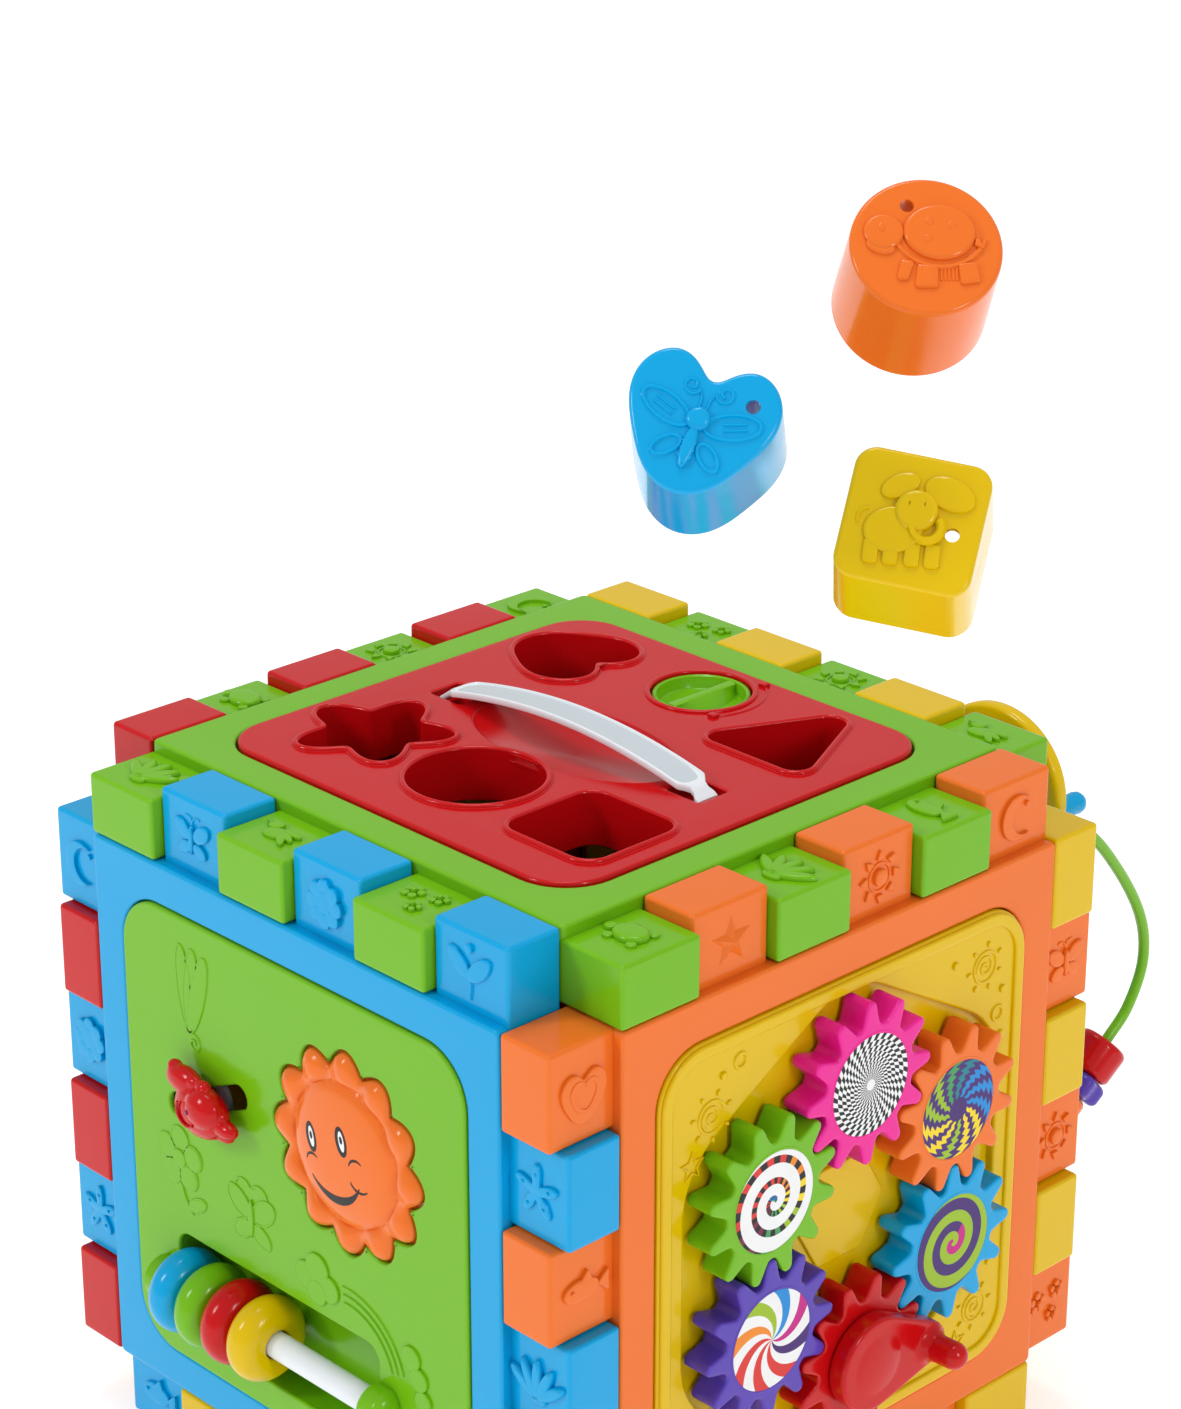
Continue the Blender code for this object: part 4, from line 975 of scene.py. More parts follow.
def front_reliefs():
    """Low soft drawings: a plant, a flower, a butterfly, and a cloud with a bow and a caterpillar."""
    made = []

    def outlined(outline, height, radius=0.0007):
        made.extend([soft(outline, height), line(outline, radius, True)])

    for k in range(3):
        lean = radians(97 - 12 * k)
        centre = at_angle(0.0190, lean, (-0.0600, 0.0530))
        outlined(ellipse(0.0185, 0.0044, centre, lean), 0.0004 + 0.0001 * k)
    made.append(line(spiral(0.0008, 0.0042, 1.3, (-0.0575, 0.0490)), 0.0007))
    made.append(line(arc(0.012, 250, 300, (-0.0600, 0.0470)), 0.0006))
    bloom = (-0.0700, -0.0070)
    for i in range(5):
        at = at_angle(0.0088, radians(90 + 72 * i), bloom)
        outlined(circle(0.0054, 24, at), 0.0005 + 0.0001 * i)
    made.append(soft(circle(0.0042, 24, bloom), 0.0012))
    made.append(line(arc(0.020, 190, 230, (-0.0500, -0.0150), 8), 0.0008))
    outlined(ellipse(0.0062, 0.0028, (-0.0600, -0.0250), 0.5), 0.0007, 0.0006)
    for sign in (-1, 1):
        outlined(ellipse(0.0080, 0.0048, (-0.0250 + sign * 0.0075, -0.0110), sign * 0.65), 0.0004)
        outlined(ellipse(0.0060, 0.0038, (-0.0250 + sign * 0.0058, -0.0225), -sign * 0.55), 0.0004 + 0.0001)
        feeler = arc(0.0050, 90 - sign * 80, 90 + sign * 60, (-0.0250 + sign * 0.0050, -0.0050), 10)
        made.append(line(feeler, 0.0006))
    made.append(soft(ellipse(0.0016, 0.0085, (-0.0250, -0.0160)), 0.0012))
    puffs = (
        (0.0080, -0.0270, 0.0062),
        (0.0150, -0.0215, 0.0068),
        (0.0220, -0.0280, 0.0058),
        (0.0150, -0.0320, 0.0056),
    )
    for k, (x, y, radius) in enumerate(puffs):
        made.append(soft(circle(radius, 28, (x, y)), 0.0009 + 0.0001 * k))
    for radius in (0.0260, 0.0295, 0.0330):
        made.append(line(arc(radius, 15, 95, (0.0330, -0.0560), 24), 0.0008))
    for i in range(5):
        at = at_angle(0.0340, radians(38 - 15 * i), (0.0430, -0.0580))
        made.append(soft(circle(0.0054 - 0.0004 * i, 20, at), 0.0011 + 0.0001 * i))
    return made


def sun_level(radius, angle):
    """Height of the sun's surface: a domed face in a groove, and one inflated swell for each ray."""
    if radius <= SUN_FACE:
        share = radius / SUN_FACE
        return SUN_FRONT - 0.0006 + SUN_RISE * (1 - share ** 3.0) ** 0.6
    share = min((radius - SUN_FACE) / (sun_radius(angle) - SUN_FACE), 1.0)
    swell = 0.5 + 0.5 * cos(SUN_RAYS * (angle - pi / 2))
    crown = (1 - abs(2 * share - 0.9) ** 2.6 / 1.3) if share < 0.95 else 0.1
    return SUN_FRONT - 0.0016 + (0.0016 + 0.0022 * swell) * max(crown, 0.0)


def build_sun():
    """The smiling sun button."""

    def loop(radius_at, level_at):
        return [(*at_angle(radius_at(a), a), level_at(radius_at(a), a)) for a in turns(192)]

    loops = [loop(lambda a, k=k: SUN_FACE * k / 14, sun_level) for k in range(1, 15)]
    for share in (0.03, 0.08, 0.16, 0.26, 0.38, 0.5, 0.62, 0.73, 0.82, 0.89, 0.94, 0.98):
        loops.append(loop(lambda a, s=share: SUN_FACE + s * (sun_radius(a) - SUN_FACE), sun_level))
    for level in (SUN_FRONT - 0.0024, SUN_BACK - 0.0002):
        loops.append(loop(sun_radius, lambda radius, a, z=level: z))
    lip = slab([circle(SUN_RADIUS + SUN_WAVE + 0.0025, 72)], SUN_BACK - 0.002, SUN_BACK, 0.0004)
    plunger = slab([circle(0.004, 32)], -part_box("sun_button")[1].y, SUN_BACK - 0.001)
    shapes = painted(plastic("orange"), [loft(loops), lip, plunger])
    stands_for("sun_button", "sun", shapes, "front", shift(*SUN_PLACE), crisp=False)
    piece("sun_print", "sun", sun_print(), "front", shift(*SUN_PLACE), crisp=False)


def on_dome(outline, lift=0.00006, thick=0.00035):
    """A thin printed patch that follows the sun's domed face."""
    shape = bmesh.new()
    shape.faces.new([shape.verts.new((x, y, 0)) for x, y in outline])
    bmesh.ops.triangulate(shape, faces=shape.faces[:])
    for _ in range(2):
        long_edges = [e for e in shape.edges if e.calc_length() > 0.0016]
        bmesh.ops.subdivide_edges(shape, edges=long_edges, cuts=1)
        bmesh.ops.triangulate(shape, faces=shape.faces[:])
    for vert in shape.verts:
        vert.co.z = sun_level(hypot(vert.co.x, vert.co.y), 0) + lift
    grown = bmesh.ops.extrude_face_region(shape, geom=shape.faces[:])
    for vert in (v for v in grown["geom"] if isinstance(v, bmesh.types.BMVert)):
        vert.co.z -= thick
    return finished(shape)


def ribbon(points, width_at):
    """A stroke: an outline along points, as wide as width_at says from 0 to 1."""
    left = []
    right = []
    for i, point in enumerate(points):
        ahead = Vector(points[min(i + 1, len(points) - 1)])
        behind = Vector(points[max(i - 1, 0)])
        along = (ahead - behind).normalized()
        half = width_at(i / (len(points) - 1)) / 2
        left.append((point[0] - along.y * half, point[1] + along.x * half))
        right.append((point[0] + along.y * half, point[1] - along.x * half))
    return left + right[::-1]


def sun_print():
    """A plain smiling face, tilted a little."""
    made = []
    lean = radians(15)

    def add(colour, outline, lift):
        made.append((ink(colour), on_dome(moved(outline, (0, 0), lean), lift)))

    for x in (-0.0145, 0.0042):
        add("black", ellipse(0.0031, 0.0062, (x, 0.0072), 0.0, 40), 0.00010)
        add("white", ellipse(0.0015, 0.0042, (x + 0.0004, 0.0074), 0.0, 24), 0.00018)
        add("black", ellipse(0.0008, 0.0016, (x + 0.0004, 0.0080), 0.0, 16), 0.00026)
        cheek = arc(0.0044, 155, 40, (x - 0.0020 if x < 0 else x + 0.0060, -0.0040), 14)
        add("black", ribbon(cheek, lambda s: 0.0004 + 0.0007 * sin(pi * s)), 0.00010)
    smile = arc(0.0172, 208, 322, (-0.0040, -0.0005), 40)
    add("black", ribbon(smile, lambda s: 0.0005 + 0.0032 * sin(pi * s) ** 1.2), 0.00010)
    tick = arc(0.0058, 195, 300, (0.0108, -0.0072), 12)
    add("black", ribbon(tick, lambda s: 0.0005 + 0.0006 * sin(pi * s)), 0.00010)
    return made


def build_bird():
    """A plump little bird: body, head, scalloped tail and wing, beak, and its shank in the slot."""
    mid = PLATE_TOP + GAP + 0.0066
    balls = (
        # radius, place across, up and out, and how far it is stretched each way
        (0.0124, (0.0030, -0.0010, 0.0006), (1.25, 0.92, 0.56)),
        (0.0094, (0.0070, 0.0022, 0.0026), (1.05, 0.92, 0.72)),
        (0.0048, (0.0180, -0.0030, 0.0012), (1.50, 0.75, 0.75)),
        (0.0040, (0.0150, -0.0072, -0.0004), (1.50, 0.75, 0.70)),
        (0.0074, (-0.0080, 0.0088, 0.0004), (1.40, 0.80, 0.62)),
        (0.0034, (-0.0145, 0.0120, -0.0004), (1.10, 0.85, 0.85)),
        (0.0033, (-0.0132, 0.0078, -0.0004), (1.00, 0.95, 0.85)),
        (0.0033, (-0.0112, 0.0038, -0.0004), (1.00, 0.95, 0.85)),
        (0.0032, (-0.0092, -0.0004, -0.0006), (1.00, 0.95, 0.85)),
        (0.0034, (-0.0070, -0.0058, -0.0012), (1.10, 0.90, 0.80)),
        (0.0034, (-0.0040, -0.0096, -0.0012), (1.10, 0.90, 0.80)),
        (0.0034, (0.0010, -0.0112, -0.0012), (1.20, 0.90, 0.80)),
        (0.0038, (-0.0010, 0.0102, 0.0010), (1.20, 0.90, 0.80)),
        (0.0034, (0.0050, 0.0102, 0.0012), (1.20, 0.90, 0.80)),
    )
    parts = [ball(radius, (x, y, mid + z), stretch) for radius, (x, y, z), stretch in balls]
    eye = ball(0.0013, (0.0040, 0.0018, mid + 0.0086), (1, 1, 0.8), 12)
    shank = slab([circle(0.0046, 32)], PLATE_TOP - PLATE_SKIN - GAP, mid, 0.0002)
    red = plastic("red")
    wing = arc(0.0060, 150, 310, (0.0010, 0.0000), 14)
    feather = line([(x, y, mid + 0.0072) for x, y in wing], 0.0006)
    aside = Matrix.Translation((0.0035, 0.0020, 0))
    shapes = [
        (red, melted(parts, 0.0004, 4), aside),
        (ink("maroon"), eye, aside),
        (red, feather, aside),
        (red, shank),
    ]
    stands_for("bird_slider", "bird", shapes, "front", shift(*BIRD_PLACE), crisp=False)


# ---------------------------------------------------------------- gears
def gear_outline():
    pitch = 2 * pi / GEAR_TEETH
    tip = GEAR_RING / 2 + GEAR_TOOTH_DEPTH / 2
    root = GEAR_RING / 2 - GEAR_TOOTH_DEPTH / 2 - 0.0005
    shape = ((root, -0.38), (root + 0.0022, -0.29), (tip - 0.0014, -0.145), (tip, -0.065))
    points = []
    for tooth in range(GEAR_TEETH):
        side = [(r, (tooth + share) * pitch) for r, share in shape]
        back = [(r, 2 * tooth * pitch - angle) for r, angle in reversed(side)]
        points += [(r * cos(angle), r * sin(angle)) for r, angle in side + back]
    return points


def printed_disc(radius, cells, rings, point, colour_of):
    """A thin printed disc made of cells; point gives each corner, colour_of the ink of each cell."""
    names = []
    shape = bmesh.new()
    for j in range(rings):
        for i in range(cells):
            corners = [point(i, j), point(i + 1, j), point(i + 1, j + 1), point(i, j + 1)]
            unique = []
            for x, y in corners:
                if not any(hypot(x - a, y - b) < 1e-6 for a, b in unique):
                    unique.append((x, y))
            if len(unique) < 3:
                continue
            colour = colour_of(i, j)
            if colour not in names:
                names.append(colour)
            face = shape.faces.new([shape.verts.new((x, y, 0)) for x, y in unique])
            face.material_index = names.index(colour)
    bmesh.ops.remove_doubles(shape, verts=shape.verts, dist=WELD)
    grown = bmesh.ops.extrude_face_region(shape, geom=shape.faces[:])
    for vert in (v for v in grown["geom"] if isinstance(v, bmesh.types.BMVert)):
        vert.co.z -= PRINT_THICKNESS
    bmesh.ops.recalc_face_normals(shape, faces=shape.faces)
    mesh = bpy.data.meshes.new("print")
    shape.to_mesh(mesh)
    shape.free()
    return mesh, [ink(name) for name in names]


def check_swirl(radius):
    """Black and white checks that swirl in to the middle."""

    def point(i, j):
        r = radius * (j / 11) ** 1.3
        a = 2 * pi * i / 60 + 1.0 * (1 - r / radius) ** 1.2
        return (r * cos(a), r * sin(a))

    def colour(i, j):
        return "black" if j > 1 and (i + j) % 2 else "white"

    return printed_disc(radius, 60, 11, point, colour)


def zigzag_swirl(radius):
    """Dark rays with jagged edges over a ring of colours."""
    hues = "sky teal leaf lime lime yellow yellow lime yellow yellow sky sky".split()

    def point(i, j):
        r = radius * (j / 14) ** 0.9
        jag = 0.14 * (0.5 + r / radius) if j % 2 and j < 14 else 0.0
        a = 2 * pi * i / 48 + 0.9 * (1 - r / radius) + jag
        return (r * cos(a), r * sin(a))

    def colour(i, j):
        return "violet" if j < 3 or (i // 2) % 2 else hues[(i // 4) % 12]

    return printed_disc(radius, 48, 14, point, colour)


def spiral_point(radius, cells, revolutions, edges):
    """Corners of a spiral band pattern; edges are the shares at which each arm's band starts."""

    def point(i, j):
        turn, arm = divmod(j, len(edges))
        share = (turn - 1 + edges[arm] + i / cells) / revolutions
        r = radius * (1 - min(max(share, 0.0), 1.0)) ** 1.25
        a = 2 * pi * i / cells
        return (r * cos(a), -r * sin(a))

    return point


def two_tone_spiral(radius):
    """Lime with a spiral arm that turns from violet to magenta."""
    point = spiral_point(radius, 96, 2.4, (0.0, 0.5))

    def colour(i, j):
        if j % 2:
            return "lime"
        return "magenta" if j // 2 + i / 96 > 2.2 else "violet"

    return printed_disc(radius, 96, 7, point, colour)


def dashed_spiral(radius):
    """White with one narrow spiral arm of coloured dashes."""
    point = spiral_point(radius, 96, 2.7, (0.0, 0.34))
    hues = ["red", "red", "orange", "yellow", "lime", "leaf", "maroon", "red"]

    def colour(i, j):
        if j % 2:
            return "white"
        if (i // 3) % 2:
            return "black"
        return hues[i // 12 % 8] if j < 5 else "sky"

    return printed_disc(radius, 96, 7, point, colour)


def candy_swirl(radius):
    """Curved rays, white between colours."""
    hues = ["sky", "lime", "orange", "red", "red", "red", "violet", "magenta"]

    def point(i, j):
        r = radius * (j / 16) ** 0.9
        a = 2 * pi * i / 96 + 1.25 * (r / radius) ** 0.8
        return (r * cos(a), r * sin(a))

    def colour(i, j):
        return hues[i // 12 % 8] if (i // 6) % 2 else "white"

    return printed_disc(radius, 96, 16, point, colour)


GEARS = (
    ("pink", "pink_gear", check_swirl, 0.0),
    ("orange", "orange_gear", zigzag_swirl, 0.4),
    ("blue", "blue_gear", two_tone_spiral, 2.2),
    ("red", "crank_gear", None, 0.0),
    ("purple", "purple_gear", candy_swirl, -0.5),
    ("green", "green_gear", dashed_spiral, 2.6),
)


def gear_place(i):
    return at_angle(GEAR_RING, pi / 2 - i * pi / 3)


def build_gears():
    outline = hull_of_circles(GEAR_RING / 2 + GEAR_TOOTH_DEPTH / 2 + 0.002, GEAR_RING, 6)
    floor_at = HALF - GEAR_FLOOR
    border = [rounded_square(PLATE - 0.0008, 0.0214), rounded_square(PLATE - 0.0062, 0.0160)]
    hexagon = rounded([(0.0245 * cos(a), 0.0245 * sin(a)) for a in turns(6)], 0.004)
    parts = [
        tray(PLATE_TOP, [outline], edge=0.0012),
        well(outline, floor_at, PLATE_TOP - 0.0018),
        slab(border, PLATE_TOP - 0.0010, PLATE_TOP + 0.0014, 0.0011, 3),
        slab([hexagon], floor_at - 0.0005, floor_at + 0.0015, 0.0007),
    ]
    for i in range(6):
        parts.append(slab([circle(0.008, 32, gear_place(i))], floor_at - 0.0005, GEAR_LOW - GAP, 0.0002))
    yellow = plastic("yellow")
    shapes = painted(yellow, parts) + painted(yellow, corner_reliefs(), shift(0, 0, PLATE_TOP))
    stands_for("gear_plate", "cube", shapes, "right")

    wheel = melted([slab([gear_outline()], 0, GEAR_THICKNESS)], 0.0006, 7, 0.3)
    seat_rings = [circle(GEAR_PRINT + more, 72) for more in (0.0012, 0.0002)]
    for i, (colour, body, print_of, spin) in enumerate(GEARS):
        phase = pi / GEAR_TEETH if i % 2 else 0.0
        place = shift(*gear_place(i), GEAR_LOW, phase)
        parts = [wheel]
        if print_of:
            parts.append(slab(seat_rings, GEAR_THICKNESS - 0.0010, GEAR_THICKNESS + 0.00015, 0.0003))
        shapes = painted(plastic(colour), parts)
        stands_for("gear_" + colour, body, shapes, "right", place, crisp=False)
        if print_of:
            where = side_matrix("right") @ place @ shift(0, 0, GEAR_THICKNESS + 0.00012, spin - phase)
            lay_print("gear_print_" + colour, body, print_of(GEAR_PRINT), where)
    build_crank()


def corner_reliefs():
    """Small suns with spiral faces, rings, dots and stars in the plate's corners."""
    suns = (
        (-0.0750, 0.0700, 0.3),
        (0.0780, 0.0790, -0.4),
        (0.0800, -0.0760, 1.0),
        (-0.0790, -0.0780, 2.0),
    )
    rings = (
        (-0.0600, 0.0880, 0.0030),
        (0.0865, 0.0560, 0.0030),
        (0.0610, -0.0880, 0.0028),
        (-0.0880, -0.0590, 0.0030),
    )
    dots = (
        (-0.0690, 0.0850),
        (0.0890, 0.0660),
        (0.0890, 0.0460),
        (0.0600, 0.0855),
        (0.0880, -0.0580),
        (-0.0640, -0.0880),
    )
    made = []
    for x, y, turn in suns:
        made.append(line(spiral(0.0006, 0.0052, 1.6, (x, y), turn), 0.0007))
        made.append(line(circle(0.0066, 32, (x, y)), 0.0007, True))
        for k in range(7):
            angle = turn + 2 * pi * k / 7
            ray = ellipse(0.0013, 0.0008, at_angle(0.0096, angle, (x, y)), angle, 12)
            made.append(raised(ray, 0.0009, 0.0004))
    made += [line(circle(radius, 24, (x, y)), 0.0009, True) for x, y, radius in rings]
    made += [raised(circle(0.0017, 16, place), 0.0012, 0.0008) for place in dots]
    for place in ((-0.0850, 0.0530), (0.0690, -0.0890)):
        made.append(line(moved(star_points(0.0058, 0.0026), place), 0.0007, True))
    return made


def build_crank():
    """The crank on the red gear: a domed teardrop arm that flows into its peg."""
    big = CRANK_HUB
    small = PEG_RADIUS + 0.0035
    lean = pi / 2 - atan2(big - small, sqrt(CRANK_ARM ** 2 - (big - small) ** 2))
    outline = arc(small, -lean * 180 / pi, lean * 180 / pi, (CRANK_ARM, 0), 24)
    outline += arc(big, lean * 180 / pi, 360 - lean * 180 / pi, (0, 0), 48)
    arm = slab([outline], 0, CRANK_THICKNESS, 0.0016, 3)
    dome = ball(big * 0.93, (0, 0, CRANK_THICKNESS - 0.0035), (1, 1, 0.26), 32)
    peg_end = (CRANK_ARM + 0.0006, 0, CRANK_THICKNESS + PEG_LENGTH - PEG_RADIUS - 0.0006)
    peg = tube([(CRANK_ARM - 0.0010, 0, 0.003), peg_end], PEG_RADIUS, sides=6)
    tip = ball(PEG_RADIUS, peg_end, (1, 1, 1), 24)
    flare = [
        (0, 0.002),
        (PEG_RADIUS + 0.0028, 0.002),
        (PEG_RADIUS + 0.0028, CRANK_THICKNESS),
        (PEG_RADIUS + 0.0012, CRANK_THICKNESS + 0.0012),
        (PEG_RADIUS, CRANK_THICKNESS + 0.0040),
        (0, CRANK_THICKNESS + 0.0040),
    ]
    root = turned(flare, 32)
    root.transform(Matrix.Translation((CRANK_ARM, 0, 0)))
    shape = melted([arm, dome, peg, tip, root], 0.0006, 6, 0.35)
    place = shift(*gear_place(3), GEAR_LOW + GEAR_THICKNESS + GAP, radians(-7))
    stands_for("crank_handle", "crank_gear", [(plastic("red"), shape)], "right", place, crisp=False)


# ---------------------------------------------------------------- rear panel
RUN_START = Vector((-0.100, -0.026, HALF + 0.075))
RUN_END = Vector((-0.090, -0.080, HALF + 0.019))
WIRE_TOP = (-0.090, 0.084)
WIRE_LOW = (-0.086, -0.090)


def smooth_route(points, steps):
    """A Catmull-Rom curve through points."""
    route = []
    ends = [2 * points[0] - points[1], *points, 2 * points[-1] - points[-2]]
    for i in range(1, len(ends) - 2):
        a, b, c, d = ends[i - 1 : i + 3]
        for k in range(steps):
            t = k / steps
            turn = 2 * b + (c - a) * t + (2 * a - 5 * b + 4 * c - d) * t**2 + (3 * b - a - 3 * c + d) * t**3
            route.append(turn / 2)
    route.append(points[-1])
    return route


def wire_route():
    """Out of the top socket, round a wide loop, then straight down the bead run to its foot."""
    loop = [
        Vector((*WIRE_TOP, PLATE_TOP + 0.008)),
        Vector((-0.100, 0.094, PLATE_TOP + 0.024)),
        Vector((-0.1055, 0.085, PLATE_TOP + 0.045)),
        Vector((-0.106, 0.060, PLATE_TOP + 0.068)),
        Vector((-0.105, 0.032, PLATE_TOP + 0.0865)),
        Vector((-0.103, 0.008, PLATE_TOP + 0.0930)),
        Vector((-0.1013, -0.013, PLATE_TOP + 0.0865)),
        RUN_START,
    ]
    route = [Vector((*WIRE_TOP, PLATE_TOP - 0.001)), *smooth_route(loop, 10), RUN_END]
    foot = [RUN_END, Vector((-0.0875, -0.0880, PLATE_TOP + 0.0115)), Vector((*WIRE_LOW, PLATE_TOP + 0.0070))]
    return route + smooth_route(foot, 8)[1:] + [Vector((*WIRE_LOW, PLATE_TOP - 0.001))]


def bead(length, radius, lobes):
    """A bead along Z with rounded ends; lobes gives a flower section."""
    edge = min(0.003, length * 0.3)
    ends = [(edge * (1 - sin(angle)), edge * (1 - cos(angle))) for angle in quarter(6)]
    made = [bead_section(radius - inset, lobes, z) for inset, z in ends]
    made += [bead_section(radius - inset, lobes, length - z) for inset, z in reversed(ends)]
    bore = [[(*at_angle(BEAD_BORE, a), z) for a in turns(80)] for z in (length, 0.0)]
    return loft(made + bore, ring=True)


def bead_section(radius, lobes, z):
    shape = polar(lambda a: radius * (1 + lobes * cos(5 * a)), 80)
    return [(x, y, z) for x, y in shape]


def build_rear():
    blue = plastic("blue")
    shapes = [(blue, tray(PLATE_TOP))]
    for place in (WIRE_TOP, WIRE_LOW):
        socket = turned([(0, -0.001), (0.0066, -0.001), (0.0058, 0.0022), (0.0050, 0.0035), (0, 0.0035)], 40)
        shapes.append((blue, socket, shift(*place, PLATE_TOP)))
    post_top = SPINNER_HEIGHT - 0.0012
    cone = [(0, -0.001), (0.0105, -0.001), (0.0072, 0.003), (0.0060, 0.009)]
    post = [*cone, (0.0060, post_top), (0, post_top)]
    shapes.append((blue, turned(post, 40), shift(*SPINNER_PLACE, PLATE_TOP)))
    shapes += painted(blue, rear_reliefs(), shift(0, 0, PLATE_TOP))
    stands_for("maze_plate", "cube", shapes, "rear")
    wire = [(other("wire_coat"), tube(wire_route(), WIRE_RADIUS, sides=4))]
    piece("maze_wire_coated", "cube", wire, "rear", replaces=["maze_wire"], crisp=False)

    run = (RUN_END - RUN_START).normalized()
    turn = run.to_track_quat("Z", "Y").to_matrix().to_4x4()
    start = 0.0004
    for colour, length, radius, lobes in (
        ("red", 0.017, 0.0115, 0.0),
        ("purple", 0.010, 0.0115, 0.14),
        ("orange", 0.013, 0.0095, 0.0),
    ):
        place = Matrix.Translation(RUN_START + run * start) @ turn
        shapes = [(plastic(colour), bead(length, radius, lobes))]
        stands_for("bead_" + colour, colour + "_bead", shapes, "rear", place)
        start += length + GAP

    top = SPINNER_THICKNESS
    disc = slab([circle(SPINNER_RADIUS, 96)], 0, top, 0.0024, 4)
    edges = [circle(SPINNER_RADIUS - less, 96) for less in (0.003, 0.0055)]
    shapes = painted(plastic("yellow"), [disc, slab(edges, top - 0.001, top + 0.0007, 0.0006)])
    place = shift(*SPINNER_PLACE, HALF + SPINNER_HEIGHT)
    stands_for("spinner_disc", "spinner", shapes, "rear", place)
    where = side_matrix("rear") @ place @ shift(0, 0, top + 0.0001)
    lay_print("spinner_print", "spinner", candy_swirl(SPINNER_RADIUS - 0.0065), where)
    base = top + GAP
    rise = (
        # radius and height above the disc, from the peg's tip down
        (0, 0.020),
        (0.0018, 0.0198),
        (0.0034, 0.0189),
        (0.0046, 0.0172),
        (0.0050, 0.0150),
        (0.0045, 0.006),
        (0.0046, 0.002),
        (0.0058, 0),
        (0, 0),
    )
    peg = turned([(radius, base + height) for radius, height in rise], 40)
    peg.transform(Matrix.Translation((-0.027, -0.007, 0)))
    stands_for("spinner_peg", "spinner", [(blue, peg)], "rear", place)


def rear_reliefs():
    """Raised hills, a sun, birds and curls on the plate behind the bead wire."""
    made = [line(arc(0.070, 65, 115, (0.030, -0.125), 30), 0.0007)]
    made.append(line(arc(0.060, 60, 125, (-0.030, -0.120), 30), 0.0007))
    middle = (0.055, 0.055)
    made.append(line(circle(0.013, 40, middle), 0.0008, True))
    for angle in turns(12):
        made.append(line([at_angle(r, angle, middle) for r in (0.016, 0.022)], 0.0008))
    for x, y in ((0.010, 0.070), (0.024, 0.082), (-0.005, 0.045)):
        wings = arc(0.006, 150, 30, (x - 0.0055, y), 10) + arc(0.006, 150, 30, (x + 0.0055, y), 10)
        made.append(line(wings, 0.0006))
    for x in (-0.010, 0.060):
        made.append(line(spiral(0.001, 0.009, 1.8, (x, -0.020)), 0.0008))
    return made


# ---------------------------------------------------------------- left panel: the play clock
def numeral(text, size):
    letters = bpy.data.curves.new("numeral", "FONT")
    letters.body = text
    letters.size = size
    letters.align_x = "CENTER"
    letters.align_y = "CENTER"
    letters.extrude = 0.0007
    letters.bevel_depth = 0.0003
    return mesh_from(letters)


def hand_outline(length, width):
    """A clock hand along +Y: a round eye, a straight shank and an arrow head."""
    eye = 0.0085
    spread = atan2(width / 2, eye) * 180 / pi
    head = length - 2.4 * width
    barb = 1.3 * width
    tip = rounded([(width / 2, head), (barb, head), (0, length), (-barb, head), (-width / 2, head)], 0.0005, 2)
    return arc(eye, 90 + spread, 450 - spread, steps=48) + tip


def build_left():
    yellow = plastic("yellow")
    dial_top = PLATE_TOP + 0.0015
    shapes = painted(yellow, [
        tray(PLATE_TOP),
        slab([circle(DIAL_RADIUS, 128)], PLATE_TOP - 0.001, dial_top, 0.0008),
        slab([circle(HUB_RADIUS, 40)], PLATE_TOP, PLATE_TOP + 0.0105, 0.0003),
    ])
    face = [circle(DIAL_RADIUS - 0.004, 128), circle(DIAL_RADIUS - 0.030, 96)]
    shapes.append((plastic("white"), slab(face, dial_top - 0.0006, dial_top + 0.0003, 0.0002)))
    rim = [circle(DIAL_RADIUS - 0.0005, 128), circle(DIAL_RADIUS - 0.0040, 128)]
    shapes.append((plastic("red"), slab(rim, dial_top - 0.0005, dial_top + 0.0013, 0.0008)))
    colours = ("red", "blue", "green", "orange")
    for hour in range(1, 13):
        place = at_angle(DIAL_RADIUS - 0.017, pi / 2 - hour * pi / 6)
        mark = numeral(str(hour), 0.0155)
        shapes.append((plastic(colours[hour % 4]), mark, shift(*place, dial_top + 0.0003)))
    for angle in turns(12):
        place = at_angle(DIAL_RADIUS - 0.0066, angle)
        tick = raised(circle(0.0013, 14), 0.0010, 0.0006)
        shapes.append((plastic("blue"), tick, shift(*place, dial_top)))
    for x, y, name in ((-1, -1, "star"), (1, -1, "moon"), (1, 1, "sun"), (-1, 1, "flower")):
        shapes += painted(yellow, motif(name), shift(x * 0.079, y * 0.079, PLATE_TOP))
    for k in range(10):
        angle = pi / 2 + 2 * pi * k / 10
        dot = raised(ellipse(0.0034, 0.0016), 0.0009, 0.0006)
        shapes.append((plastic("orange"), dot, shift(*at_angle(0.026, angle), dial_top, angle)))
    stands_for("clock_plate", "cube", shapes, "left")
    level = dial_top + GAP
    for node, body, length, width, colour in (
        ("hour_hand", "hours", 0.036, 0.0075, "blue"),
        ("minute_hand", "minutes", 0.054, 0.006, "green"),
    ):
        outlines = [hand_outline(length, width), circle(HUB_RADIUS + GAP, 40)]
        hand = slab(outlines, 0, HAND_THICKNESS, 0.0008)
        stands_for(node, body, [(plastic(colour), hand)], "left", shift(0, 0, level))
        level += HAND_THICKNESS + GAP
    dome = [(0, 0.0055), (0.0030, 0.0052), (0.0055, 0.0041), (0.0071, 0.0024), (0.0078, 0.0006), (0.0076, 0)]
    cap = turned([*dome, (0, 0)], 48)
    stands_for("clock_cap", "cube", [(plastic("red"), cap)], "left", shift(0, 0, level))


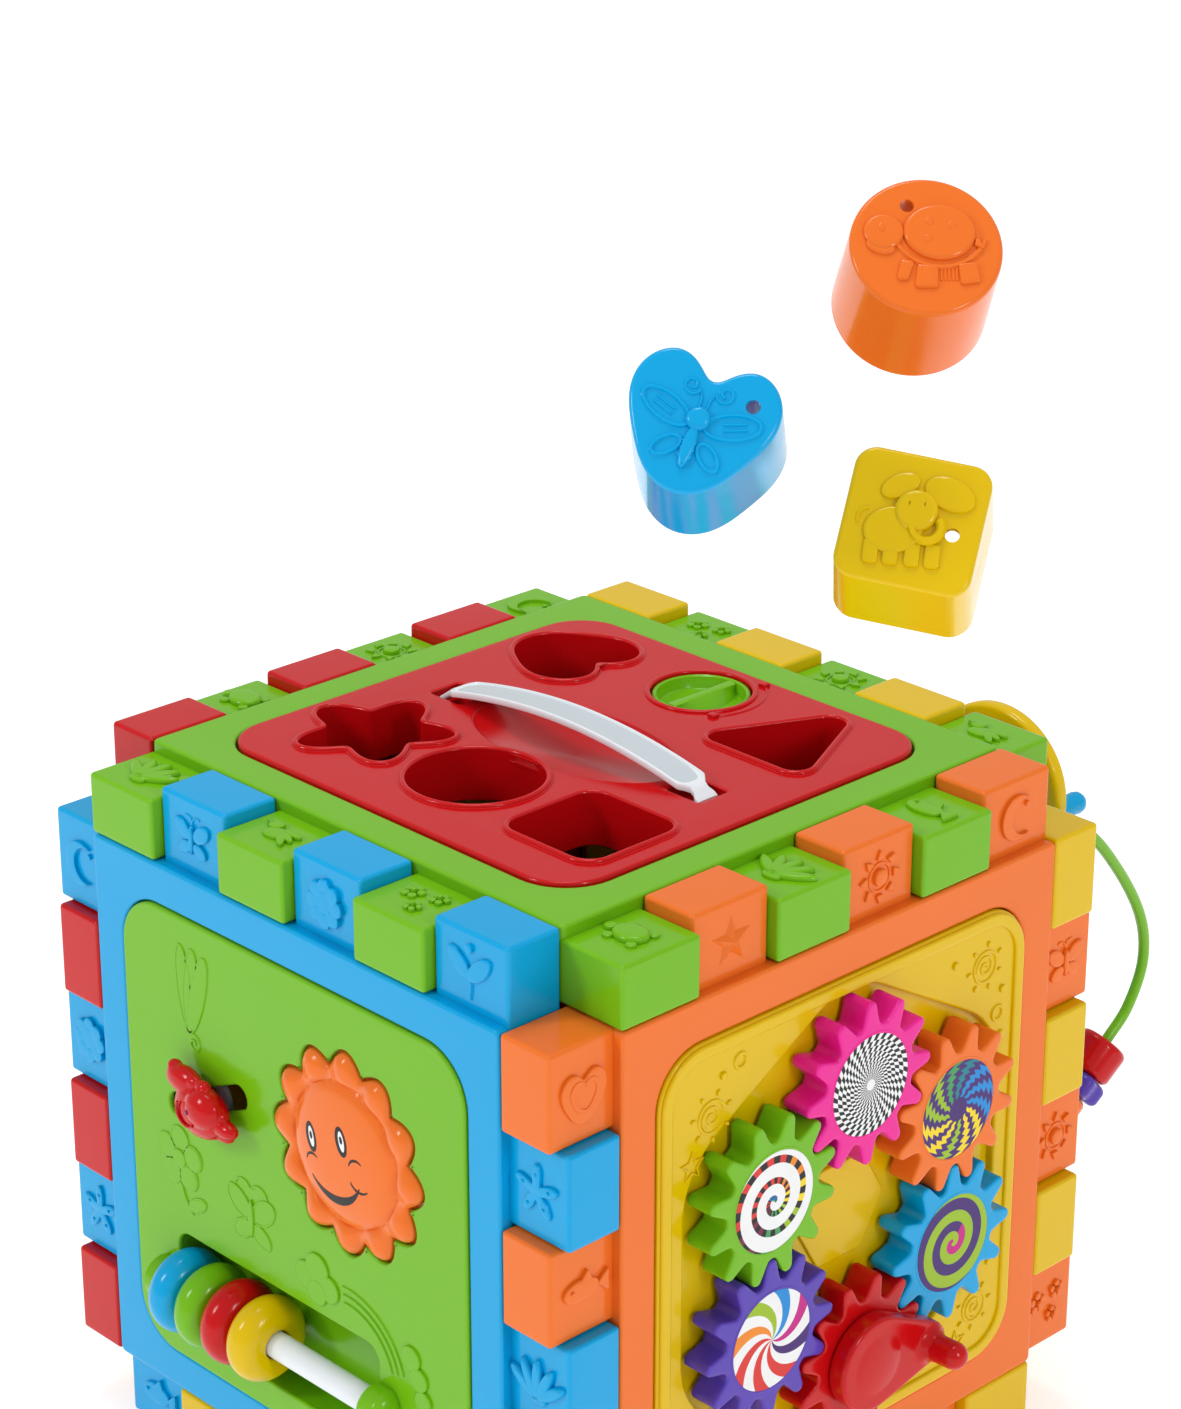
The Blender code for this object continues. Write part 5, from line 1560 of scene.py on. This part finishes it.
def build_bottom():
    """Underside: plain, with four shallow pits."""
    holes = [circle(0.007, 40, (x * 0.070, y * 0.070)) for x in (-1, 1) for y in (-1, 1)]
    parts = [tray(HALF, holes, edge=0.0009)]
    parts += [well(hole, HALF - 0.0025, HALF - 0.0008) for hole in holes]
    stands_for("bottom_plate", "cube", painted(plastic("green"), parts), "bottom")


# ---------------------------------------------------------------- sorting blocks
HOVER = {
    # place, how far it leans over, the heading it leans to from +X, and its own turn
    "circle": ((0.189, -0.019, 0.385), radians(46), radians(-39), 0.0),
    "heart": ((0.194, -0.127, 0.354), radians(54), radians(-48), radians(114)),
    "square": ((0.232, -0.066, 0.313), radians(52), radians(-50), radians(30)),
}
BLOCK_DRAFT = 0.0005      # how much a block's foot stands out past its middle
KEY_PLACES = {
    "circle": (-0.0152, 0.0055),
    "heart": (0.0082, -0.0149),
    "square": (0.0135, -0.0023),
    "star": (0.011, 0.010),
    "triangle": (0.002, 0.012),
}
BLOCK_COLOURS = {
    "circle": "orange",
    "heart": "blue",
    "square": "yellow",
    "star": "red",
    "triangle": "green",
}


def turtle_picture():
    """A turtle that walks to the left: domed shell, big head, sturdy legs, ribbed belly."""
    made = [raised(ellipse(0.0122, 0.0104, (0.0045, 0.0048)), 0.0015, 0.0014, 3)]
    made.append(line(arc(0.0165, 202, 338, (0.0045, 0.0085), 24), 0.0010))
    made.append(raised(ellipse(0.0068, 0.0066, (-0.0142, 0.0048), 0.2), 0.0013, 0.0012, 3))
    made.append(raised(ellipse(0.0050, 0.0030, (-0.0155, -0.0004), -0.3), 0.0010, 0.0009, 3))
    made.append(raised(ellipse(0.0012, 0.0016, (-0.0150, 0.0060)), 0.0018, 0.0004))
    legs = (
        [(-0.0110, -0.0135), (-0.0068, -0.0130), (-0.0042, -0.0060), (-0.0090, -0.0055)],
        [(-0.0050, -0.0160), (0.0030, -0.0160), (0.0034, -0.0075), (-0.0036, -0.0070)],
        [(0.0105, -0.0150), (0.0175, -0.0135), (0.0165, -0.0060), (0.0100, -0.0070)],
    )
    made += [raised(rounded(corners, 0.0012, 4), 0.0012, 0.0009) for corners in legs]
    for k in range(5):
        made.append(line([(0.0042 + 0.0013 * k, -0.0130), (0.0044 + 0.0013 * k, -0.0080)], 0.0005))
    for place in ((0.0010, 0.0085), (0.0085, 0.0070), (0.0005, 0.0020)):
        made.append(slab([circle(0.0016, 16, place)], 0.0010, 0.0021, 0.0005, 2))
    made.append(raised(rounded([(0.0158, 0.0000), (0.0200, -0.0022), (0.0170, 0.0032)], 0.0006, 3)))
    return made


def butterfly_picture():
    """A butterfly drawn in raised lines, with curled feelers."""
    made = [raised(circle(0.0040, 32, (0, 0.0025)), 0.0018, 0.0017, 3)]
    made.append(raised(ellipse(0.0023, 0.0075, (0, -0.0070)), 0.0015, 0.0013, 3))
    for k in range(3):
        ring = [(x, y, 0.0010) for x, y in arc(0.0022, 200, 340, (0, -0.0045 - 0.0024 * k), 8)]
        made.append(line(ring, 0.0005))
    for sign in (-1, 1):
        made.append(line(ellipse(0.0090, 0.0042, (sign * 0.0112, 0.0035), sign * 0.35), 0.0008, True))
        for push in (-0.0010, 0.0010):
            across = Matrix.Rotation(sign * 0.35, 2)
            ends = [across @ Vector((sign * r, push)) for r in (-0.0030, 0.0045)]
            made.append(line([(sign * 0.0112 + e.x, 0.0035 + e.y) for e in ends], 0.0005))
        made.append(line(ellipse(0.0050, 0.0027, (sign * 0.0070, -0.0085), -sign * 0.75), 0.0008, True))
        curl = spiral(0.0034, 0.0008, 1.3, (0.0056, 0.0130), pi, 20)[1:]
        feeler = [(0.0012, 0.0060), (0.0014, 0.0095), (0.0026, 0.0122), *curl]
        made.append(line([(sign * x, y) for x, y in feeler], 0.0006))
    return made


def elephant_picture():
    """A small elephant with large ears and a curled trunk."""
    made = [raised(ellipse(0.0098, 0.0080, (-0.0060, -0.0040), 0.15), 0.0013, 0.0012, 3)]
    made.append(raised(circle(0.0072, 32, (0.0008, 0.0030)), 0.0020, 0.0019, 3))
    made.append(raised(ellipse(0.0068, 0.0040, (-0.0052, 0.0112), 0.5), 0.0012, 0.0010))
    made.append(raised(ellipse(0.0088, 0.0056, (0.0110, 0.0098), -0.35), 0.0012, 0.0010))
    trunk = [(x, y, 0.0012) for x, y in arc(0.0048, 165, 395, (0.0046, -0.0022), 20)]
    made.append(line(trunk, 0.0016))
    for x in (-0.0125, -0.0060, 0.0010, 0.0075):
        leg = rounded(rectangle((x - 0.0026, -0.0160), (x + 0.0026, -0.0075)), 0.0014, 4)
        made.append(raised(leg, 0.0012, 0.0010))
    for x in (-0.0016, 0.0034):
        made.append(slab([ellipse(0.0008, 0.0013, (x, 0.0050))], 0.0010, 0.0026, 0.0005, 1))
    made.append(line(arc(0.0040, 100, 200, (-0.0140, -0.0010), 8), 0.0006))
    return made


PICTURES = {
    "circle": (turtle_picture, (0.0, 0.0), radians(49)),
    "heart": (butterfly_picture, (-0.0040, 0.0), radians(-90)),
    "square": (elephant_picture, (0.0, 0.0), radians(6)),
    "star": (lambda: motif("fish"), (0.0, 0.0), 0.0),
    "triangle": (lambda: motif("bird"), (0.0, -0.004), 0.0),
}


def block(outline, key):
    """A hollow cup, open underneath, its top edge rounded, with the small hole in its top."""
    low = -BLOCK_HEIGHT / 2
    high = BLOCK_HEIGHT / 2
    loops = []
    for inset, level in block_profile(low, high):
        loops.append([(x, y, level) for x, y in outline(-BLOCK_CLEARANCE - inset)])
    inner = []
    for inset, level in ((-BLOCK_DRAFT, low - 0.002), (0, 0), (BLOCK_DRAFT, high - BLOCK_TOP)):
        inner.append([(x, y, level) for x, y in outline(-BLOCK_CLEARANCE - BLOCK_WALL - inset)])
    hole = slab([circle(KEY_HOLE, 32, key)], 0, high + 0.002)
    return combined(loft(loops), [loft(inner), hole], "DIFFERENCE")


def block_profile(low, high):
    """How far in each level of a block's wall lies: a slight draft, then the rounded top edge."""
    rows = [(-BLOCK_DRAFT + 0.0006, low), (-BLOCK_DRAFT, low + 0.0006), (0.0, 0.0)]
    turn = 0.0018
    for angle in quarter(6):
        rows.append((BLOCK_DRAFT + turn * (1 - cos(angle)), high - turn + turn * sin(angle)))
    return rows


def build_blocks():
    for shape, (outline, place) in HOLES.items():
        colour = BLOCK_COLOURS[shape]
        if shape in HOVER:
            spot, tilt, heading, spin = HOVER[shape]
            lean = Matrix.Rotation(tilt, 4, Vector((-sin(heading), cos(heading), 0)))
            where = Matrix.Translation((spot[0], spot[1], spot[2] + HALF))
            where = where @ lean @ Matrix.Rotation(spin, 4, "Z")
        else:
            where = Matrix.Translation((*place, PLATE_SKIN + GAP + BLOCK_HEIGHT / 2))
        shapes = [(plastic(colour), block(outline, KEY_PLACES[shape]))]
        picture, centre, turn = PICTURES[shape]
        shapes += painted(plastic(colour), picture(), shift(*centre, BLOCK_HEIGHT / 2, turn))
        stands_for("block_" + shape, shape + "_block", shapes, place=where)


# ---------------------------------------------------------------- hidden works
def dress_works():
    """The CAD pieces that show as they are get their finish."""
    finishes = {
        "sound_housing": plastic("white"),
        "battery_door": plastic("white"),
        "circuit_board": other("board"),
        "switch_dome": other("rubber"),
        "speaker": other("cell_wrap"),
        "battery_1": other("cell_wrap"),
        "battery_2": other("cell_wrap"),
        "battery_screw": other("steel"),
        "bird_retainer": plastic("grey"),
        "lock_latch": plastic("grey"),
    }
    for node, material in finishes.items():
        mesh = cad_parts[node].data
        mesh.materials.clear()
        mesh.materials.append(material)


# ---------------------------------------------------------------- studio
def area_light(name, place, target, size, power):
    lamp = bpy.data.lights.new(name, "AREA")
    lamp.shape = "RECTANGLE"
    lamp.size, lamp.size_y = size
    lamp.energy = power
    made = bpy.data.objects.new(name, lamp)
    made.location = place
    made.rotation_mode = "QUATERNION"
    made.rotation_quaternion = (Vector(place) - Vector(target)).to_track_quat("Z", "Y")
    bpy.context.scene.collection.objects.link(made)


def build_studio():
    scene = bpy.context.scene
    shape = bmesh.new()
    bmesh.ops.create_grid(shape, x_segments=2, y_segments=2, size=30)
    floor_mesh = bpy.data.meshes.new("floor")
    shape.to_mesh(floor_mesh)
    shape.free()
    floor = bpy.data.objects.new("floor", floor_mesh)
    paper = surface("floor_paper", (0.93, 0.93, 0.93), (2.0, 0.01), (0.6, 0.7), (300.0, 0.00005))
    shader = paper.node_tree.nodes["Principled BSDF"]
    shader.inputs["Emission Color"].default_value = (1, 1, 1, 1)
    shader.inputs["Emission Strength"].default_value = 0.42
    floor_mesh.materials.append(paper)
    floor.location = (0, 0, -0.0005)
    scene.collection.objects.link(floor)

    world = bpy.data.worlds.new("studio")
    world.use_nodes = True
    world.node_tree.nodes["Background"].inputs["Color"].default_value = (1.0, 1.0, 1.0, 1)
    world.node_tree.nodes["Background"].inputs["Strength"].default_value = 0.58
    scene.world = world
    middle = (0, 0, 0.2)
    area_light("overhead", (-0.2, 0.1, 2.2), middle, (0.7, 0.7), 12)
    area_light("left_box", (-0.9, -2.1, 1.7), middle, (0.40, 0.7), 18)
    area_light("right_box", (2.2, -0.3, 1.3), middle, (0.35, 0.7), 11)
    scene.view_settings.view_transform = "Standard"

    camera_data = bpy.data.cameras.new("camera")
    camera_data.lens = 94.47
    camera_data.sensor_width = 36
    camera_data.clip_end = 100
    camera = bpy.data.objects.new("camera", camera_data)
    camera.location = (0.98747, -0.93547, 0.87574)
    azimuth = radians(46.278)
    elevation = radians(22.277)
    back = Vector((sin(azimuth) * cos(elevation), -cos(azimuth) * cos(elevation), sin(elevation)))
    camera.rotation_mode = "QUATERNION"
    camera.rotation_quaternion = back.to_track_quat("Z", "Y")
    scene.collection.objects.link(camera)
    scene.camera = camera


build_frames()
build_lid()
build_front()
build_gears()
build_rear()
build_left()
build_bottom()
build_blocks()
dress_works()
build_studio()
